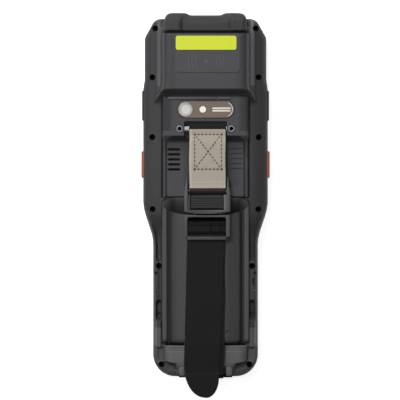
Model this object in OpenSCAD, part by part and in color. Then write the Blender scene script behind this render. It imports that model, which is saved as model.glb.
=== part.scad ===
// Rugged handheld data terminal with a hand strap, lying on its screen side.
// Millimetres. X runs across the body, Y towards the top end, Z up through the back.
// The origin is on the rest plane, in the middle of the overall length and width.

/* [Body] */
// Length of the bottom end below the battery pack
bottom_len = 19.4; // [18:0.2:23]
// Width across the head
head_w = 70.8; // [70:0.2:72]
// Width where the side keys sit
side_w = 72.5; // [71.6:0.2:74]
// Width across the grip
grip_w = 60.9; // [60.4:0.2:63]
// Length of the curve from the head's width to the grip's width
taper_len = 26; // [18:0.5:30]
// Wall thickness of both shells
wall = 2; // [1.6:0.1:2.2]
// Width that each slanted top corner takes off the end
corner_cut_x = 6.2; // [5.4:0.2:6.8]
// Length that each slanted top corner takes off the side
corner_cut_y = 11; // [9:0.5:12]
// Radius at both ends of the slanted top corners
corner_top_r = 6; // [4.5:0.5:7]
// Radius of the bottom corners in plan
corner_bottom_r = 13; // [10:0.5:14]
// Height of the joint between front and rear shells
split_z = 11; // [10.5:0.1:11.5]
// Height of the shoulders beside the raised back
shoulder_z = 20.8; // [20.4:0.1:21.4]
// How far the shoulder edge rolls in
shoulder_roll = 3.5; // [2:0.25:4]

/* [Raised back, from the top down] */
// Length of the top bumper
cap_len = 11.7; // [10.5:0.1:13]
// How far the bumper stands past the shell
cap_proud = 3.3; // [2.8:0.1:4]
// Width of the top bumper
cap_w = 46.6; // [45:0.2:48]
// Length of the scan hump
hump_len = 32.5; // [31:0.25:36]
// Width of the scan hump
hump_w = 50.2; // [49.6:0.2:52]
// Height of the scan hump
hump_z = 33; // [32:0.25:35]
// Length of the slope behind the hump
slope_len = 4.1; // [3:0.1:6]
// Length of the camera plateau
plateau_len = 23.2; // [22.4:0.2:26]
// Width of the camera plateau
plateau_w = 49.4; // [48.6:0.2:51]
// Height of the camera plateau
plateau_z = 26.5; // [26:0.1:27.2]
// Length of the speaker deck
deck_len = 35.4; // [34:0.2:38]
// Width of the speaker deck
deck_w = 46.4; // [45:0.2:48]
// Height of the speaker deck
deck_z = 23.5; // [23:0.1:23.8]

/* [Camera] */
// Length of the camera bezel
bezel_len = 32.8; // [31:0.2:34]
// Width of the camera bezel
bezel_w = 9.9; // [9:0.1:10.6]
// Thickness of the camera bezel
bezel_t = 1; // [0.8:0.1:1.2]
// Diameter of the camera lens
lens_d = 7; // [6:0.1:7.6]
// Diameter of the flash lens
flash_d = 4; // [3.4:0.1:4.6]

/* [Battery] */
// Diameter of each cell
cell_d = 18.2; // [17.8:0.1:18.4]
// Length of each cell
cell_len = 65; // [62:0.5:66]
// Wall of the battery case around the cells
case_wall = 1.3; // [1.1:0.1:1.4]
// Length of the battery pack
pack_len = 84.7; // [84:0.2:87]
// Width of the battery pack across its wings
wing_w = 48.8; // [48:0.2:49.2]
// Height of the wings
wing_z = 21.3; // [21.1:0.1:21.6]
// Width of the finger scoop
scoop_w = 51.6; // [46:0.2:52]
// Length of the finger scoop
scoop_len = 10.2; // [9.4:0.1:11]
// Depth of the finger scoop at its lower end
scoop_depth = 6.5; // [5:0.1:7]
// Thickness of the latch slider
latch_t = 3.2; // [2.6:0.1:3.6]
// Travel of the latch slider
latch_travel = 2.2; // [1.8:0.1:2.4]

/* [Hand strap] */
// Width of the grey webbing
web_w = 21.7; // [20.5:0.1:21.9]
// Width of the black strap
strap_w = 21.4; // [20:0.1:21.6]
// Thickness of the black strap and of the webbing core
strap_t = 0.9; // [0.7:0.05:1]
// Thickness of the grey webbing
tab_t = 1.3; // [1:0.1:1.5]
// Diameter of the top strap bar
bar_d = 3; // [2.6:0.1:3.2]
// Diameter of the bottom strap pin
pin_d = 2.4; // [2:0.1:2.6]
// Width of the strap clip
clip_w = 26.7; // [26.3:0.1:28]
// Length of the strap clip
clip_len = 20.9; // [20.5:0.1:23]
// Length of the strap frame
frame_len = 14.5; // [14.3:0.1:16]
// Length of strap tail past the bottom of the body
tail_over = 12.2; // [8:0.2:16]
// Travel of the clip button
button_travel = 1; // [0.6:0.1:1.2]

/* [Keys] */
// Length of an orange scan key
scan_key_len = 15.7; // [13:0.1:17]
// Length of an upper side key
upper_key_len = 17.6; // [15:0.1:18.4]
// Height of the side keys
side_key_h = 5; // [4:0.1:5.2]
// How far the scan keys stand out
scan_key_proud = 1.05; // [0.9:0.05:1.3]
// How far the upper side keys stand out
upper_key_proud = 0.65; // [0.5:0.05:0.8]
// Travel of the side keys
side_travel = 0.8; // [0.5:0.1:0.9]
// Width of a number key
key_w = 12.8; // [11:0.1:13.4]
// Length of a number key
key_len = 10.4; // [9:0.1:12]
// Spacing of the keys across the keypad
key_pitch_x = 15.2; // [14.8:0.1:15.4]
// Spacing of the keys along the keypad
key_pitch_y = 15; // [14:0.1:15.4]
// Travel of the front keys
key_travel = 0.5; // [0.3:0.05:0.6]

/* [Front] */
// Depth of the front face below the rim
face_z = 1.5; // [1.4:0.05:1.7]
// Thickness of the front face
plate_t = 1.5; // [1.4:0.05:1.7]
// Width of the rim around the front face
rim_w = 3.2; // [2.8:0.1:3.6]
// Width of the display glass
glass_w = 60; // [58:0.2:60.6]
// Length of the display glass
glass_len = 95; // [92:0.5:96]
// Thickness of the display glass
glass_t = 1.1; // [0.9:0.05:1.1]

/* [Screws] */
// Diameter of the housing screw heads
head_d = 3.2; // [2.8:0.1:3.4]
// Diameter of the housing screws
screw_d = 1.9; // [1.6:0.1:2]

/* [Clearances] */
// Gap between a moving piece and what it passes
gap = 0.3; // [0.25:0.01:0.35]
// Gap around a seated piece
fit = 0.1; // [0.05:0.01:0.12]
// Gap between a pin and its bore
running = 0.05; // [0.03:0.01:0.08]

/* [Hidden] */
NUMBER_ROWS = 4;
NUMBER_COLS = 3;
NUMBER_KEYS = [for (r = [1:NUMBER_ROWS], c = [1:NUMBER_COLS]) str("key_row", r, "_", c)];
$fn = 48;

// Places along Y, each from the one above it
body_len = cap_len + hump_len + slope_len + plateau_len + deck_len + pack_len + bottom_len;
total_len = body_len + tail_over;
y_top = total_len / 2;
y_bottom = y_top - body_len;
y_tail = -total_len / 2;
y_shell = y_top - cap_proud;
y_cap = y_top - cap_len;
y_hump = y_cap - hump_len;
y_slope = y_hump - slope_len;
y_plateau = y_slope - plateau_len;
y_seam = y_plateau - deck_len;
y_pack = y_seam - pack_len;
flare_y = [y_hump + 6.6, y_hump - 1.4];
taper_y = [y_seam - 1.7, y_seam - 1.7 - taper_len];

// Heights of the front stack, from the rest plane up
plate_in = face_z + plate_t;
flange_t = 0.5;
flange_z = plate_in + fit;
mat_z = flange_z + flange_t + key_travel + 0.05;
mat_t = 0.6;
board_t = 0.8;
board_z = mat_z + mat_t;
key_top_z = face_z - 0.9;
glass_z = plate_in - 0.6 - glass_t;

// Heights of the battery stack
tub_z = board_z + board_t + 0.15;
tub_t = 1.1;
tray_z = tub_z + tub_t + gap;
tray_floor = 1;
ridge_r = cell_d / 2 + fit + case_wall;
cell_x = cell_d / 2 + 0.7;
cell_z = tray_z + tray_floor + fit + cell_d / 2;
ridge_w = 2 * (cell_x + ridge_r);
crown_z = cell_z + ridge_r;
wing_t = 2.3;
wing_under = wing_z - wing_t;
nose_z = deck_z - 0.2;
nose_under = 14;
cells_y = [y_pack + 2.5, y_pack + 2.5 + cell_len];

// The pack swings about this line; its top end is an arc about it
tilt_y = y_pack - 0.4;
tilt_z = 24.5;
pack_r = norm([pack_len + 0.1, tilt_z - nose_z]);

// Strap heights and places
bar_y = y_plateau + 4.2;
bar_z = plateau_z - 2.4;
web_x = 1;
lower_x = 0.5;
layer_z = crown_z + gap;
tail_z = layer_z + strap_t + 0.05;
strap_top_z = crown_z + 3.8;
core_gap = 0.1;
clip_y = [y_seam - 9.3, y_seam - 9.3 + clip_len];
button_top = strap_top_z - 0.9;
button_t = 1.6;
clip_floor_z = button_top - button_t - button_travel - 1.9;
clip_z = [clip_floor_z - 1, strap_top_z];
tongue_z = [layer_z + 0.1, layer_z + 1.1];
clip_under = tongue_z[1] + gap;
clip_bar_d = 2.6;
clip_bar_y = clip_y[1] - 8.1;
clip_bar_z = strap_top_z - 3.6;
frame_y = [clip_y[0] - 0.9 - frame_len, clip_y[0] - 0.9];
mid_bar_y = [frame_y[0] + 4.9, frame_y[0] + 9.9];
mid_bar_z = [tail_z + 0.1, tail_z + 1.1];
pin_y = y_bottom + 0.8;
pin_z = crown_z - 3.6;
cap_lip_y = y_pack - 0.7;
cap_top_z = [crown_z - 1.8, crown_z - 3.6];
lug_x = [strap_w / 2 + lower_x + 0.6, strap_w / 2 + lower_x + 4.2];

bar_at = [bar_y, bar_z];
clip_bar_at = [clip_bar_y, clip_bar_z];
bar_eye = bar_d / 2 + running;
clip_eye = clip_bar_d / 2 + running;
bar_half = 17.6;
bar_screw_x = 15;
bar_screw_d = 1.6;
bar_head_d = 4;
button_half = web_w / 2 - 1.65;
button_y = [clip_y[0] + 2.65, clip_bar_y - clip_eye - strap_t - 0.3];
wrap_y = [mid_bar_y[0] - 0.1 - strap_t, mid_bar_y[1] + 0.1 + strap_t];
wrap_top = mid_bar_z[1] + 0.1 + strap_t;
bend_y = y_pack;
pin_eye = pin_d / 2 + running;
pin_top = pin_z + pin_eye;
tail_end_r = strap_w / 2 - 0.2;
tail_end = [lower_x - 2.3, y_tail + tail_end_r];

// Rear shell: nose behind the scan window, edges of the battery's bay, trim
nose_half = cap_w / 2 - 2.8;
nose_top = hump_z - 6.6;
window_z = [split_z + 1.6, nose_top - 1];
ledge_half = wing_w / 2 + gap + 1.1;
tub_half = ridge_w / 2 + gap;
tub_end_y = y_seam + 3.6;
slot_pitch = 2.9;
slot_len = 7.7;
camera_y = y_slope - 7.85;
bezel_x = 0.15;
lens_x = bezel_x - 11.75;
flash_x = bezel_x - 1.75;
inlay_w = 37.3;
inlay_len = 21.7;
inlay_x = 1.15;
inlay_y = y_cap - 12.25;

// Battery latch
latch_half = 9.2;
latch_half_tip = 4;
latch_z = [15.6, 15.6 + latch_t];
latch_y = [y_seam - 8.5, y_seam - 1.9];

// Screw places: [x, y], mirrored to both sides
screw_at = [
    [head_w / 2 - 6.2, y_shell - 5.7], [head_w / 2 - 4.6, y_hump + 6.8],
    [side_w / 2 - 5.35, y_plateau - 0.7], [side_w / 2 - 5.55, y_seam - 6.8],
    [grip_w / 2 - 3.35, y_seam - 39.7], [grip_w / 2 - 4.95, y_bottom + 7]
];
seat_z = shoulder_z - 3.3;
boss_r = 2.3;

// Key places
scan_key_y = y_seam + 18.85;
upper_key_y = y_slope - 5.5;
side_key_z = [split_z + 1.4, split_z + 1.4 + side_key_h];
flange_x = [side_w / 2 - wall - 1.6, side_w / 2 - wall - 0.2];
key_row_y = y_seam - 13.7;
keypad_w = (NUMBER_COLS - 1) * key_pitch_x + key_w + 4.8;
switch_x = flange_x[0] - side_travel - 0.4;
switch_len = 5;
board_half = min(head_w, side_w) / 2 - wall - 2;
board_y = [y_seam + 4.6, y_shell - 11.3];
board_top = 8.7;
main_t = 1.2;
slots_x = deck_w / 2 - 4.75;
slots_y = y_plateau - 7.8;
speaker_x = [-deck_w / 2 + 2.4, -deck_w / 2 + 11.2];
speaker_y = y_plateau - 13.6;
glass_y = [y_shell - 6.7 - glass_len, y_shell - 6.7];

// ---- Helpers ----

// Box from two corners
module block(x, y, z) {
    translate([x[0], y[0], z[0]]) cube([x[1] - x[0], y[1] - y[0], z[1] - z[0]]);
}

// Rectangle with round corners, centred
module round_rect(w, h, r) {
    square([w - 2 * r, h], center = true);
    square([w, h - 2 * r], center = true);
    for (sx = [-1, 1], sy = [-1, 1])
        translate([sx * (w / 2 - r), sy * (h / 2 - r)]) circle(r);
}

// Extrudes a profile drawn in Y and Z along X
module along_x(x) {
    translate([x[0], 0, 0]) rotate([90, 0, 90]) linear_extrude(x[1] - x[0]) children();
}

// Extrudes a profile drawn in X and Z along Y
module along_y(y) {
    translate([0, y[1], 0]) rotate([90, 0, 0]) linear_extrude(y[1] - y[0]) children();
}

// Upright prism between two heights
module upright(z) {
    translate([0, 0, z[0]]) linear_extrude(z[1] - z[0]) children();
}

// Cylinder along X
module rod_x(x, y, z, d) {
    translate([x[0], y, z]) rotate([0, 90, 0]) cylinder(d = d, h = x[1] - x[0]);
}

// Both sides of the body
module both_sides() {
    children();
    mirror([1, 0, 0]) children();
}

// ---- Plan outline of the body ----

function swell(t) = 0.5 - 0.5 * cos(180 * t);
function arc(x, y, r, from, to, n) = [
    for (i = [0:n]) let (a = from + (to - from) * i / n) [x + r * cos(a), y + r * sin(a)]
];
function ease(y, w0, w1, inset, n) = [
    for (i = [0:n]) let (t = i / n) [(w0 + (w1 - w0) * swell(t)) / 2 - inset, y[0] + (y[1] - y[0]) * t]
];
corner_slant = atan2(corner_cut_x, corner_cut_y);
function right_side(inset) = concat(
    arc(head_w / 2 - corner_cut_x - corner_top_r * tan(45 - corner_slant / 2), y_shell - corner_top_r,
        corner_top_r - inset, 90, corner_slant, 4),
    arc(head_w / 2 - corner_top_r, y_shell - corner_cut_y - corner_top_r * tan(corner_slant / 2),
        corner_top_r - inset, corner_slant, 0, 4),
    ease(flare_y, head_w, side_w, inset, 4),
    ease(taper_y, side_w, grip_w, inset, 10),
    arc(grip_w / 2 - corner_bottom_r, y_bottom + corner_bottom_r, corner_bottom_r - inset, 0, -90, 8)
);
function outline(inset) = let (side = right_side(inset)) concat(
    side, [for (i = [len(side) - 1:-1:0]) [-side[i][0], side[i][1]]]
);

// Solid through a stack of outlines, each drawn in by its inset
module loft(insets, heights) {
    levels = len(insets);
    n = len(outline(0));
    points = [for (k = [0:levels - 1]) for (p = outline(insets[k])) [p[0], p[1], heights[k]]];
    walls = [
        for (k = [0:levels - 2], i = [0:n - 1])
            let (a = k * n + i, b = k * n + (i + 1) % n)
            each [[a, b, b + n], [a, b + n, a + n]]
    ];
    bottom = [for (i = [n - 1:-1:0]) i];
    top = [for (i = [0:n - 1]) i + (levels - 1) * n];
    polyhedron(points, concat([bottom], walls, [top]), convexity = 8);
}

// Plan of the shell drawn in by a wall
module plan(inset) {
    polygon(outline(inset));
}

// ---- Rear housing ----

// Hump: round-edged across, sloped at its lower end
module hump_block(w, r, top, y) {
    intersection() {
        along_y([y[0] - slope_len, y[1]]) translate([0, top / 2]) round_rect(w, top, r);
        along_x([-w, w]) polygon([
            [y[0] - slope_len, split_z], [y[1], split_z], [y[1], top], [y[0], top],
            [y[0] - slope_len, plateau_z - (hump_z - top)]
        ]);
    }
}

module rear_outer() {
    loft([0, 0, 0.4, 1.4, shoulder_roll],
         [split_z + fit, shoulder_z - 3.8, shoulder_z - 2, shoulder_z - 0.7, shoulder_z]);
    hump_block(hump_w, 6, hump_z, [y_hump, y_cap]);
    block([-nose_half, nose_half], [y_cap - 1, y_shell], [split_z + 1, nose_top]);
    along_y([y_plateau, y_slope + 0.5]) translate([0, plateau_z - 8]) round_rect(plateau_w, 16, 2);
    along_y([y_seam + gap, y_plateau + 1]) translate([0, deck_z - 6]) round_rect(deck_w, 12, 1.6);
    block([-ledge_half, ledge_half], [y_pack - 2.2, y_seam + 1], [split_z + 1, wing_z]);
}

// Space inside the rear shell, open at the joint face
module rear_cavity() {
    roof = shoulder_z - 2.2;
    difference() {
        upright([split_z - 1, roof]) plan(wall);
        block([-tub_half - tub_t, tub_half + tub_t], [y_pack - 2.2, tub_end_y], [0, 40]);
    }
    block([-hump_w / 2 + 2.6, hump_w / 2 - 2.6], [y_hump + 1, y_cap - 2.6], [split_z, hump_z - 2.4]);
    block([-nose_half + 2, nose_half - 2], [y_cap - 3, y_shell - wall], [split_z, nose_top - 2]);
    block([-plateau_w / 2 + 2.4, plateau_w / 2 - 2.4], [bar_y + 4, y_hump + 1.5],
          [split_z, plateau_z - 2.2]);
    block([-deck_w / 2 + 2, deck_w / 2 - 2], [tub_end_y + 1, bar_y - 3.4], [split_z, deck_z - 2.2]);
}

// Room for the battery pack, with its end wall on the arc of the pack's swing
module bay() {
    end = [y_pack - gap, y_seam + gap + 0.4];
    intersection() {
        union() {
            block([-tub_half, tub_half], end, [tub_z + tub_t, 40]);
            block([-wing_w / 2 - gap, wing_w / 2 + gap], end, [wing_under - gap, 40]);
        }
        rod_x([-50, 50], tilt_y, tilt_z, 2 * (pack_r + gap));
    }
}

// Tub below the deck that the pack drops into
module tub() {
    block([-tub_half - tub_t, tub_half + tub_t], [y_pack - 2.2, tub_end_y], [tub_z, wing_under]);
}

module screw_bosses() {
    both_sides() for (p = screw_at)
        intersection() {
            translate([p[0], p[1], split_z + fit]) cylinder(r = boss_r, h = shoulder_z - split_z - 1);
            upright([0, shoulder_z - 1.2]) plan(1);
        }
}

module screw_holes() {
    both_sides() for (p = screw_at) translate([p[0], p[1], 0]) {
        translate([0, 0, split_z - 1]) cylinder(d = screw_d + 0.3, h = 20);
        translate([0, 0, seat_z]) cylinder(d = head_d + 0.3, h = 20);
    }
}

// Slot through a side wall for a key at y, with a wider pocket for its flange
module side_slot(y, len) {
    block([0, side_w], [y - len / 2 - fit, y + len / 2 + fit],
          [side_key_z[0] - fit, side_key_z[1] + fit]);
}

// Pocket under the strap bar, open towards the deck
module bar_pocket() {
    half = web_w / 2 + web_x + 0.5;
    block([-half, half], [y_plateau - 1, bar_y + 4.3], [deck_z - 2.9, 40]);
    block([-half, half], [y_plateau - 1.5, y_plateau + 1], [deck_z, 40]);
}

module bar_seat() {
    rod_x([-bar_half - 0.2, bar_half + 0.2], bar_y, bar_z, bar_d + 2 * running);
    both_sides() translate([bar_screw_x, bar_y, 0]) {
        translate([0, 0, bar_z - 5]) cylinder(d = bar_screw_d + 0.2, h = 20);
        translate([0, 0, bar_z + bar_d / 2 - 0.7]) cylinder(d = bar_head_d + 0.4, h = 20);
    }
}

// Solid ground around the bar's blind seats, beside the pocket
module bar_blocks() {
    both_sides() block([web_w / 2 + web_x + 0.5, 20], [y_plateau + 0.5, bar_y + 4.3],
                       [bar_z - 4.5, plateau_z - 1]);
    block([-20, 20], [y_plateau - 0.5, bar_y + 5.5], [deck_z - 4.5, deck_z - 2.9]);
    block([-20, 20], [bar_y + 4.3, bar_y + 5.5], [deck_z - 4.5, plateau_z - 1]);
    block([-20, 20], [y_plateau - 2.5, y_plateau - 1], [deck_z - 4.5, deck_z - 1]);
}

module speaker_slots() {
    for (i = [0:4])
        translate([-slots_x, slots_y - i * slot_pitch, deck_z - 4])
            upright([0, 10]) round_rect(slot_len, 1.3, 0.64);
}

module mute_ribs() {
    for (i = [0:4])
        translate([slots_x, slots_y - i * slot_pitch, deck_z - 0.6])
            upright([0, 10]) round_rect(slot_len, 1.1, 0.54);
}

module camera_cuts() {
    translate([bezel_x, camera_y, plateau_z - bezel_t - 0.05]) upright([0, 20])
        round_rect(bezel_len + 0.2, bezel_w + 0.2, bezel_w / 2 + 0.09);
    translate([lens_x, camera_y, plateau_z - 4]) cylinder(d = lens_d, h = 10);
    translate([flash_x, camera_y, plateau_z - 4]) cylinder(d = flash_d, h = 10);
}

// Grip channels beside the ledges, with their screw wells
module grip_channels() {
    both_sides() {
        block([ledge_half, ledge_half + 2.8], [y_pack + 13.4, y_seam - 34.7],
              [shoulder_z - 2.1, 40]);
        translate([ledge_half + 2.5, y_seam - 54.5, shoulder_z - 3]) cylinder(d = 2.4, h = 10);
    }
}

// The strap pin's lugs stand at the bottom end, with the notch between them
module pin_lugs() {
    both_sides() block(lug_x, [y_bottom + 0.2, y_bottom + 6], [split_z + 3, pin_z + 1.8]);
}

module latch_keeper() {
    block([-latch_half_tip - gap, latch_half_tip + gap],
          [y_seam - 5, y_seam + 2.2], [latch_z[0] - gap, 40]);
}

module rear_housing() color("dimgray") difference() {
    union() {
        difference() {
            rear_outer();
            rear_cavity();
        }
        tub();
        screw_bosses();
        bar_blocks();
        pin_lugs();
        block([-nose_half, nose_half], [y_shell - wall - 0.1, y_shell], [split_z + fit, nose_top]);
    }
    bay();
    screw_holes();
    both_sides() {
        side_slot(scan_key_y, scan_key_len);
        side_slot(upper_key_y, upper_key_len);
    }
    bar_pocket();
    bar_seat();
    speaker_slots();
    mute_ribs();
    camera_cuts();
    grip_channels();
    latch_keeper();
    inlay_seat();
    window_opening();
    bottom_cap_room();
    contact_pocket();
    rod_x([-lug_x[1] - 1, lug_x[1] + 1], pin_y, pin_z, pin_d + 2 * running);
    pack_lug_slots();
}

// Everything above the step where the bottom cap sits, except the pin lugs
module bottom_cap_room() {
    difference() {
        block([-40, 40], [y_bottom - 1, cap_lip_y - 1.6], [shoulder_z - 3.2, 40]);
        both_sides() block([lug_x[0] - 0.01, lug_x[1] + 0.01],
                           [y_bottom, y_bottom + 6.01], [0, 40]);
    }
    block([-lug_x[0], lug_x[0]], [y_bottom - 1, y_bottom + 5], [pin_z - 3.6, 40]);
}

module inlay_seat() {
    translate([inlay_x, inlay_y, hump_z - 0.25]) upright([0, 5])
        round_rect(inlay_w + 2 * fit, inlay_len + 2 * fit, 2 + fit);
}

module window_opening() {
    block([-12.5, 12.5], [y_shell - wall - 1, y_shell + 1], [window_z[0] + 1.5, window_z[1] - 1.5]);
    block([-14.1, 14.1], [y_shell - 1.2, y_shell + 1], [window_z[0] - 0.1, window_z[1] + 0.1]);
}

module contact_pocket() {
    block([10.9, 19.1], [y_seam - 6, y_seam + 6], [8.8, 13.1]);
}

// Slots under the lip for the two lugs at the pack's lower end
module pack_lug_slots() {
    both_sides() block([13.5, 18.5], [y_pack - 2.4, y_pack], [wing_under - 1, wing_under + 1.8]);
}

// ---- Front housing ----

module front_housing() color("dimgray") difference() {
    union() {
        difference() {
            loft([1.3, 0.5, 0, 0], [0, 0.8, 2.2, split_z]);
            upright([-1, face_z]) plan(rim_w);
            upright([plate_in, split_z + 1]) plan(wall);
        }
        both_sides() for (p = screw_at)
            intersection() {
                translate([p[0], p[1], plate_in - 0.5]) cylinder(r = boss_r, h = split_z - plate_in + 0.5);
                upright([0, split_z]) plan(0.5);
            }
        both_sides() for (y = [board_y[0] + 4, board_y[1] - 4])
            translate([board_half - 1.2, y, plate_in - 0.5])
                cylinder(d = 3, h = board_top - main_t - plate_in + 0.45);
    }
    both_sides() for (p = screw_at)
        translate([p[0], p[1], plate_in]) cylinder(d = screw_d + 0.1, h = 20);
    glass_cuts();
    key_holes();
    seal_groove();
    block([-9.1, 9.1], [y_bottom - 1, y_bottom + wall + 1], [4.9, 9.1]);
    for (x = [-6, -3, 3, 6]) translate([x, y_shell - 3.8, -1]) cylinder(d = 1, h = 10);
}

module glass_cuts() {
    mid = (glass_y[0] + glass_y[1]) / 2;
    translate([0, mid, 0]) {
        upright([-1, plate_in - 0.6]) round_rect(glass_w + 0.2, glass_len + 0.2, 2.6);
        upright([-1, 10]) round_rect(glass_w - 4, glass_len - 5, 0.5);
    }
}

module seal_groove() {
    difference() {
        upright([split_z - 0.5, split_z + 1]) plan(0.7);
        upright([split_z - 1, split_z + 2]) plan(1.4);
    }
}

module housing_seal() color("black") difference() {
    upright([split_z - 0.5, split_z + fit]) plan(0.75);
    upright([split_z - 1, split_z + 2]) plan(1.35);
}

// ---- Keypad ----

function key_at(row, col) = [(col - 2) * key_pitch_x, key_row_y - row * key_pitch_y];

module key_shape(at, grow) {
    translate([at[0], at[1], 0]) round_rect(key_w + 2 * grow, key_len + 2 * grow, 2 + grow);
}

module key_holes() {
    upright([-1, plate_in + 1]) {
        for (r = [0:NUMBER_ROWS], c = [1:NUMBER_COLS]) key_shape(key_at(r, c), 0.15);
    }
}

// Keycap with a flange behind the face that keeps it in
module keycap(at, shade) color(shade) {
    upright([key_top_z + 0.4, flange_z + flange_t]) key_shape(at, 0);
    upright([key_top_z, key_top_z + 0.5]) key_shape(at, -0.4);
    upright([flange_z, flange_z + flange_t]) key_shape(at, 0.5);
}

// Outline that the mat and the board behind the keys share
module keypad_plan() {
    translate([0, key_at(NUMBER_ROWS / 2, 2)[1]]) round_rect(keypad_w, (NUMBER_ROWS + 1) * key_pitch_y, 3);
}

module keypad_mat() color("gray") upright([mat_z, mat_z + mat_t]) keypad_plan();

module keypad_board() color("darkgreen") upright([board_z, board_z + board_t]) keypad_plan();

// ---- Display ----

module display_glass() color("black")
    translate([0, (glass_y[0] + glass_y[1]) / 2, 0])
        upright([glass_z, plate_in - 0.6]) round_rect(glass_w, glass_len, 2.5);

module display_panel() color("silver")
    block([-glass_w / 2 + 2.3, glass_w / 2 - 2.3], [glass_y[0] + 2.8, glass_y[1] - 2.8],
          [plate_in - 0.55, plate_in + 1.7]);

// ---- Electronics ----

module main_board() color("darkgreen") {
    difference() {
        union() {
            block([-board_half, board_half], board_y, [board_top - main_t, board_top]);
            for (y = [scan_key_y, upper_key_y])
                block([-switch_x, switch_x], [y - switch_len, y + switch_len], [board_top - main_t, board_top]);
        }
        both_sides() for (p = screw_at)
            translate([p[0], p[1], 0]) cylinder(r = boss_r + 0.4, h = 20);
    }
    block([-14, 12], [y_plateau + 2, y_slope - 1], [board_top, board_top + 2]);
    block([-10, 16], [y_seam + 10, y_plateau - 8], [board_top, board_top + 1.8]);
    block([-24, -16], [y_seam + 8, y_seam + 20], [board_top, board_top + 1.4]);
}

module side_switches() color("silver")
    both_sides() for (y = [scan_key_y, upper_key_y])
        block([switch_x - 3.4, switch_x], [y - switch_len / 2, y + switch_len / 2],
              [board_top, side_key_z[1] - 1]);

module speaker() color("black")
    block(speaker_x, [speaker_y - 7, speaker_y + 7], [deck_z - 6.2, deck_z - 2.3]);

module reader_antenna() color("peru") difference() {
    block([-19, 19], [y_hump + 3, y_cap - 4.5], [hump_z - 3.2, hump_z - 2.45]);
    block([-14, 14], [y_hump + 7, y_cap - 8.5], [0, 40]);
}

module scan_engine() color("darkslategray") difference() {
    union() {
        block([-11, 11], [y_shell - 19, y_shell - 4], [board_top + 1, nose_top - 3.4]);
        block([-8, 8], [y_shell - 18, y_shell - 12], [board_top, board_top + 1.1]);
    }
    translate([-4.5, y_shell - 3, 18.5]) rotate([90, 0, 0]) cylinder(d = 6, h = 4);
    translate([5, y_shell - 3, 18.5]) rotate([90, 0, 0]) cylinder(d = 4, h = 3);
}

module scan_window() color("maroon")
    block([-14, 14], [y_shell - 1.15, y_shell], window_z);

module camera_module() color("black") {
    block([lens_x - 4.2, lens_x + 4.2], [camera_y - 4.2, camera_y + 4.2],
          [plateau_z - 7.4, plateau_z - 2.25]);
    translate([lens_x, camera_y, plateau_z - 2.3]) cylinder(d = lens_d - 0.6, h = 1.2);
    block([flash_x - 2.2, flash_x + 2.2], [camera_y - 2.2, camera_y + 2.2],
          [plateau_z - 3.6, plateau_z - 2.25]);
    block([lens_x, flash_x], [camera_y - 1.5, camera_y + 1.5], [plateau_z - 5, plateau_z - 3.2]);
}

module camera_bezel() color("#7a6c62") difference() {
    translate([bezel_x, camera_y, 0]) upright([plateau_z - bezel_t, plateau_z + 0.1])
        round_rect(bezel_len, bezel_w, bezel_w / 2 - 0.01);
    translate([lens_x, camera_y, 0]) cylinder(d = lens_d + 0.1, h = 40);
    translate([flash_x, camera_y, 0]) cylinder(d = flash_d + 0.1, h = 40);
}

module camera_lens() color("lightgray")
    translate([lens_x, camera_y, plateau_z - bezel_t]) cylinder(d = lens_d, h = bezel_t - 0.2);

module flash_lens() color("white")
    translate([flash_x, camera_y, plateau_z - 2.1]) cylinder(d = flash_d - 0.1, h = 2.1);

module battery_contacts() color("gold")
    block([11, 19], [y_seam - 0.6, y_seam + 3.4], [8.9, 13]);

module dock_contacts() color("gold")
    block([-9, 9], [y_bottom, y_bottom + 3], [5, 9]);

// ---- Hump trim ----

module hump_inlay() color("#3a3a3c")
    translate([inlay_x, inlay_y, 0]) upright([hump_z - 0.25, hump_z]) round_rect(inlay_w, inlay_len, 2);

module blank_label() color("yellow")
    translate([0.3, y_cap - 6.1, 0]) upright([hump_z, hump_z + 0.15]) round_rect(35, 8.1, 1.2);

// ---- Bumpers ----

module top_bumper() color("#4a4a4d") difference() {
    union() {
        block([-cap_w / 2, cap_w / 2], [y_cap + fit, y_top - 1.2], [shoulder_z + 0.1, hump_z - 4]);
        block([-cap_w / 2 + 1, cap_w / 2 - 1], [y_cap + fit, y_top - 0.4], [6, hump_z - 5]);
        both_sides() along_x([12.5, cap_w / 2]) translate([(y_cap + fit + y_top) / 2, hump_z / 2 + 2])
            round_rect(y_top - y_cap - fit, hump_z - 10, 3);
    }
    block([-nose_half - fit, nose_half + fit], [y_cap - 5, y_shell + fit], [0, nose_top + fit]);
    block([-60, 60], [0, y_shell + fit], [0, shoulder_z + 0.05]);
    block([-12.4, 12.4], [y_shell, y_top + 1], [window_z[0] + 1.4, window_z[1] - 1.4]);
}

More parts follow.
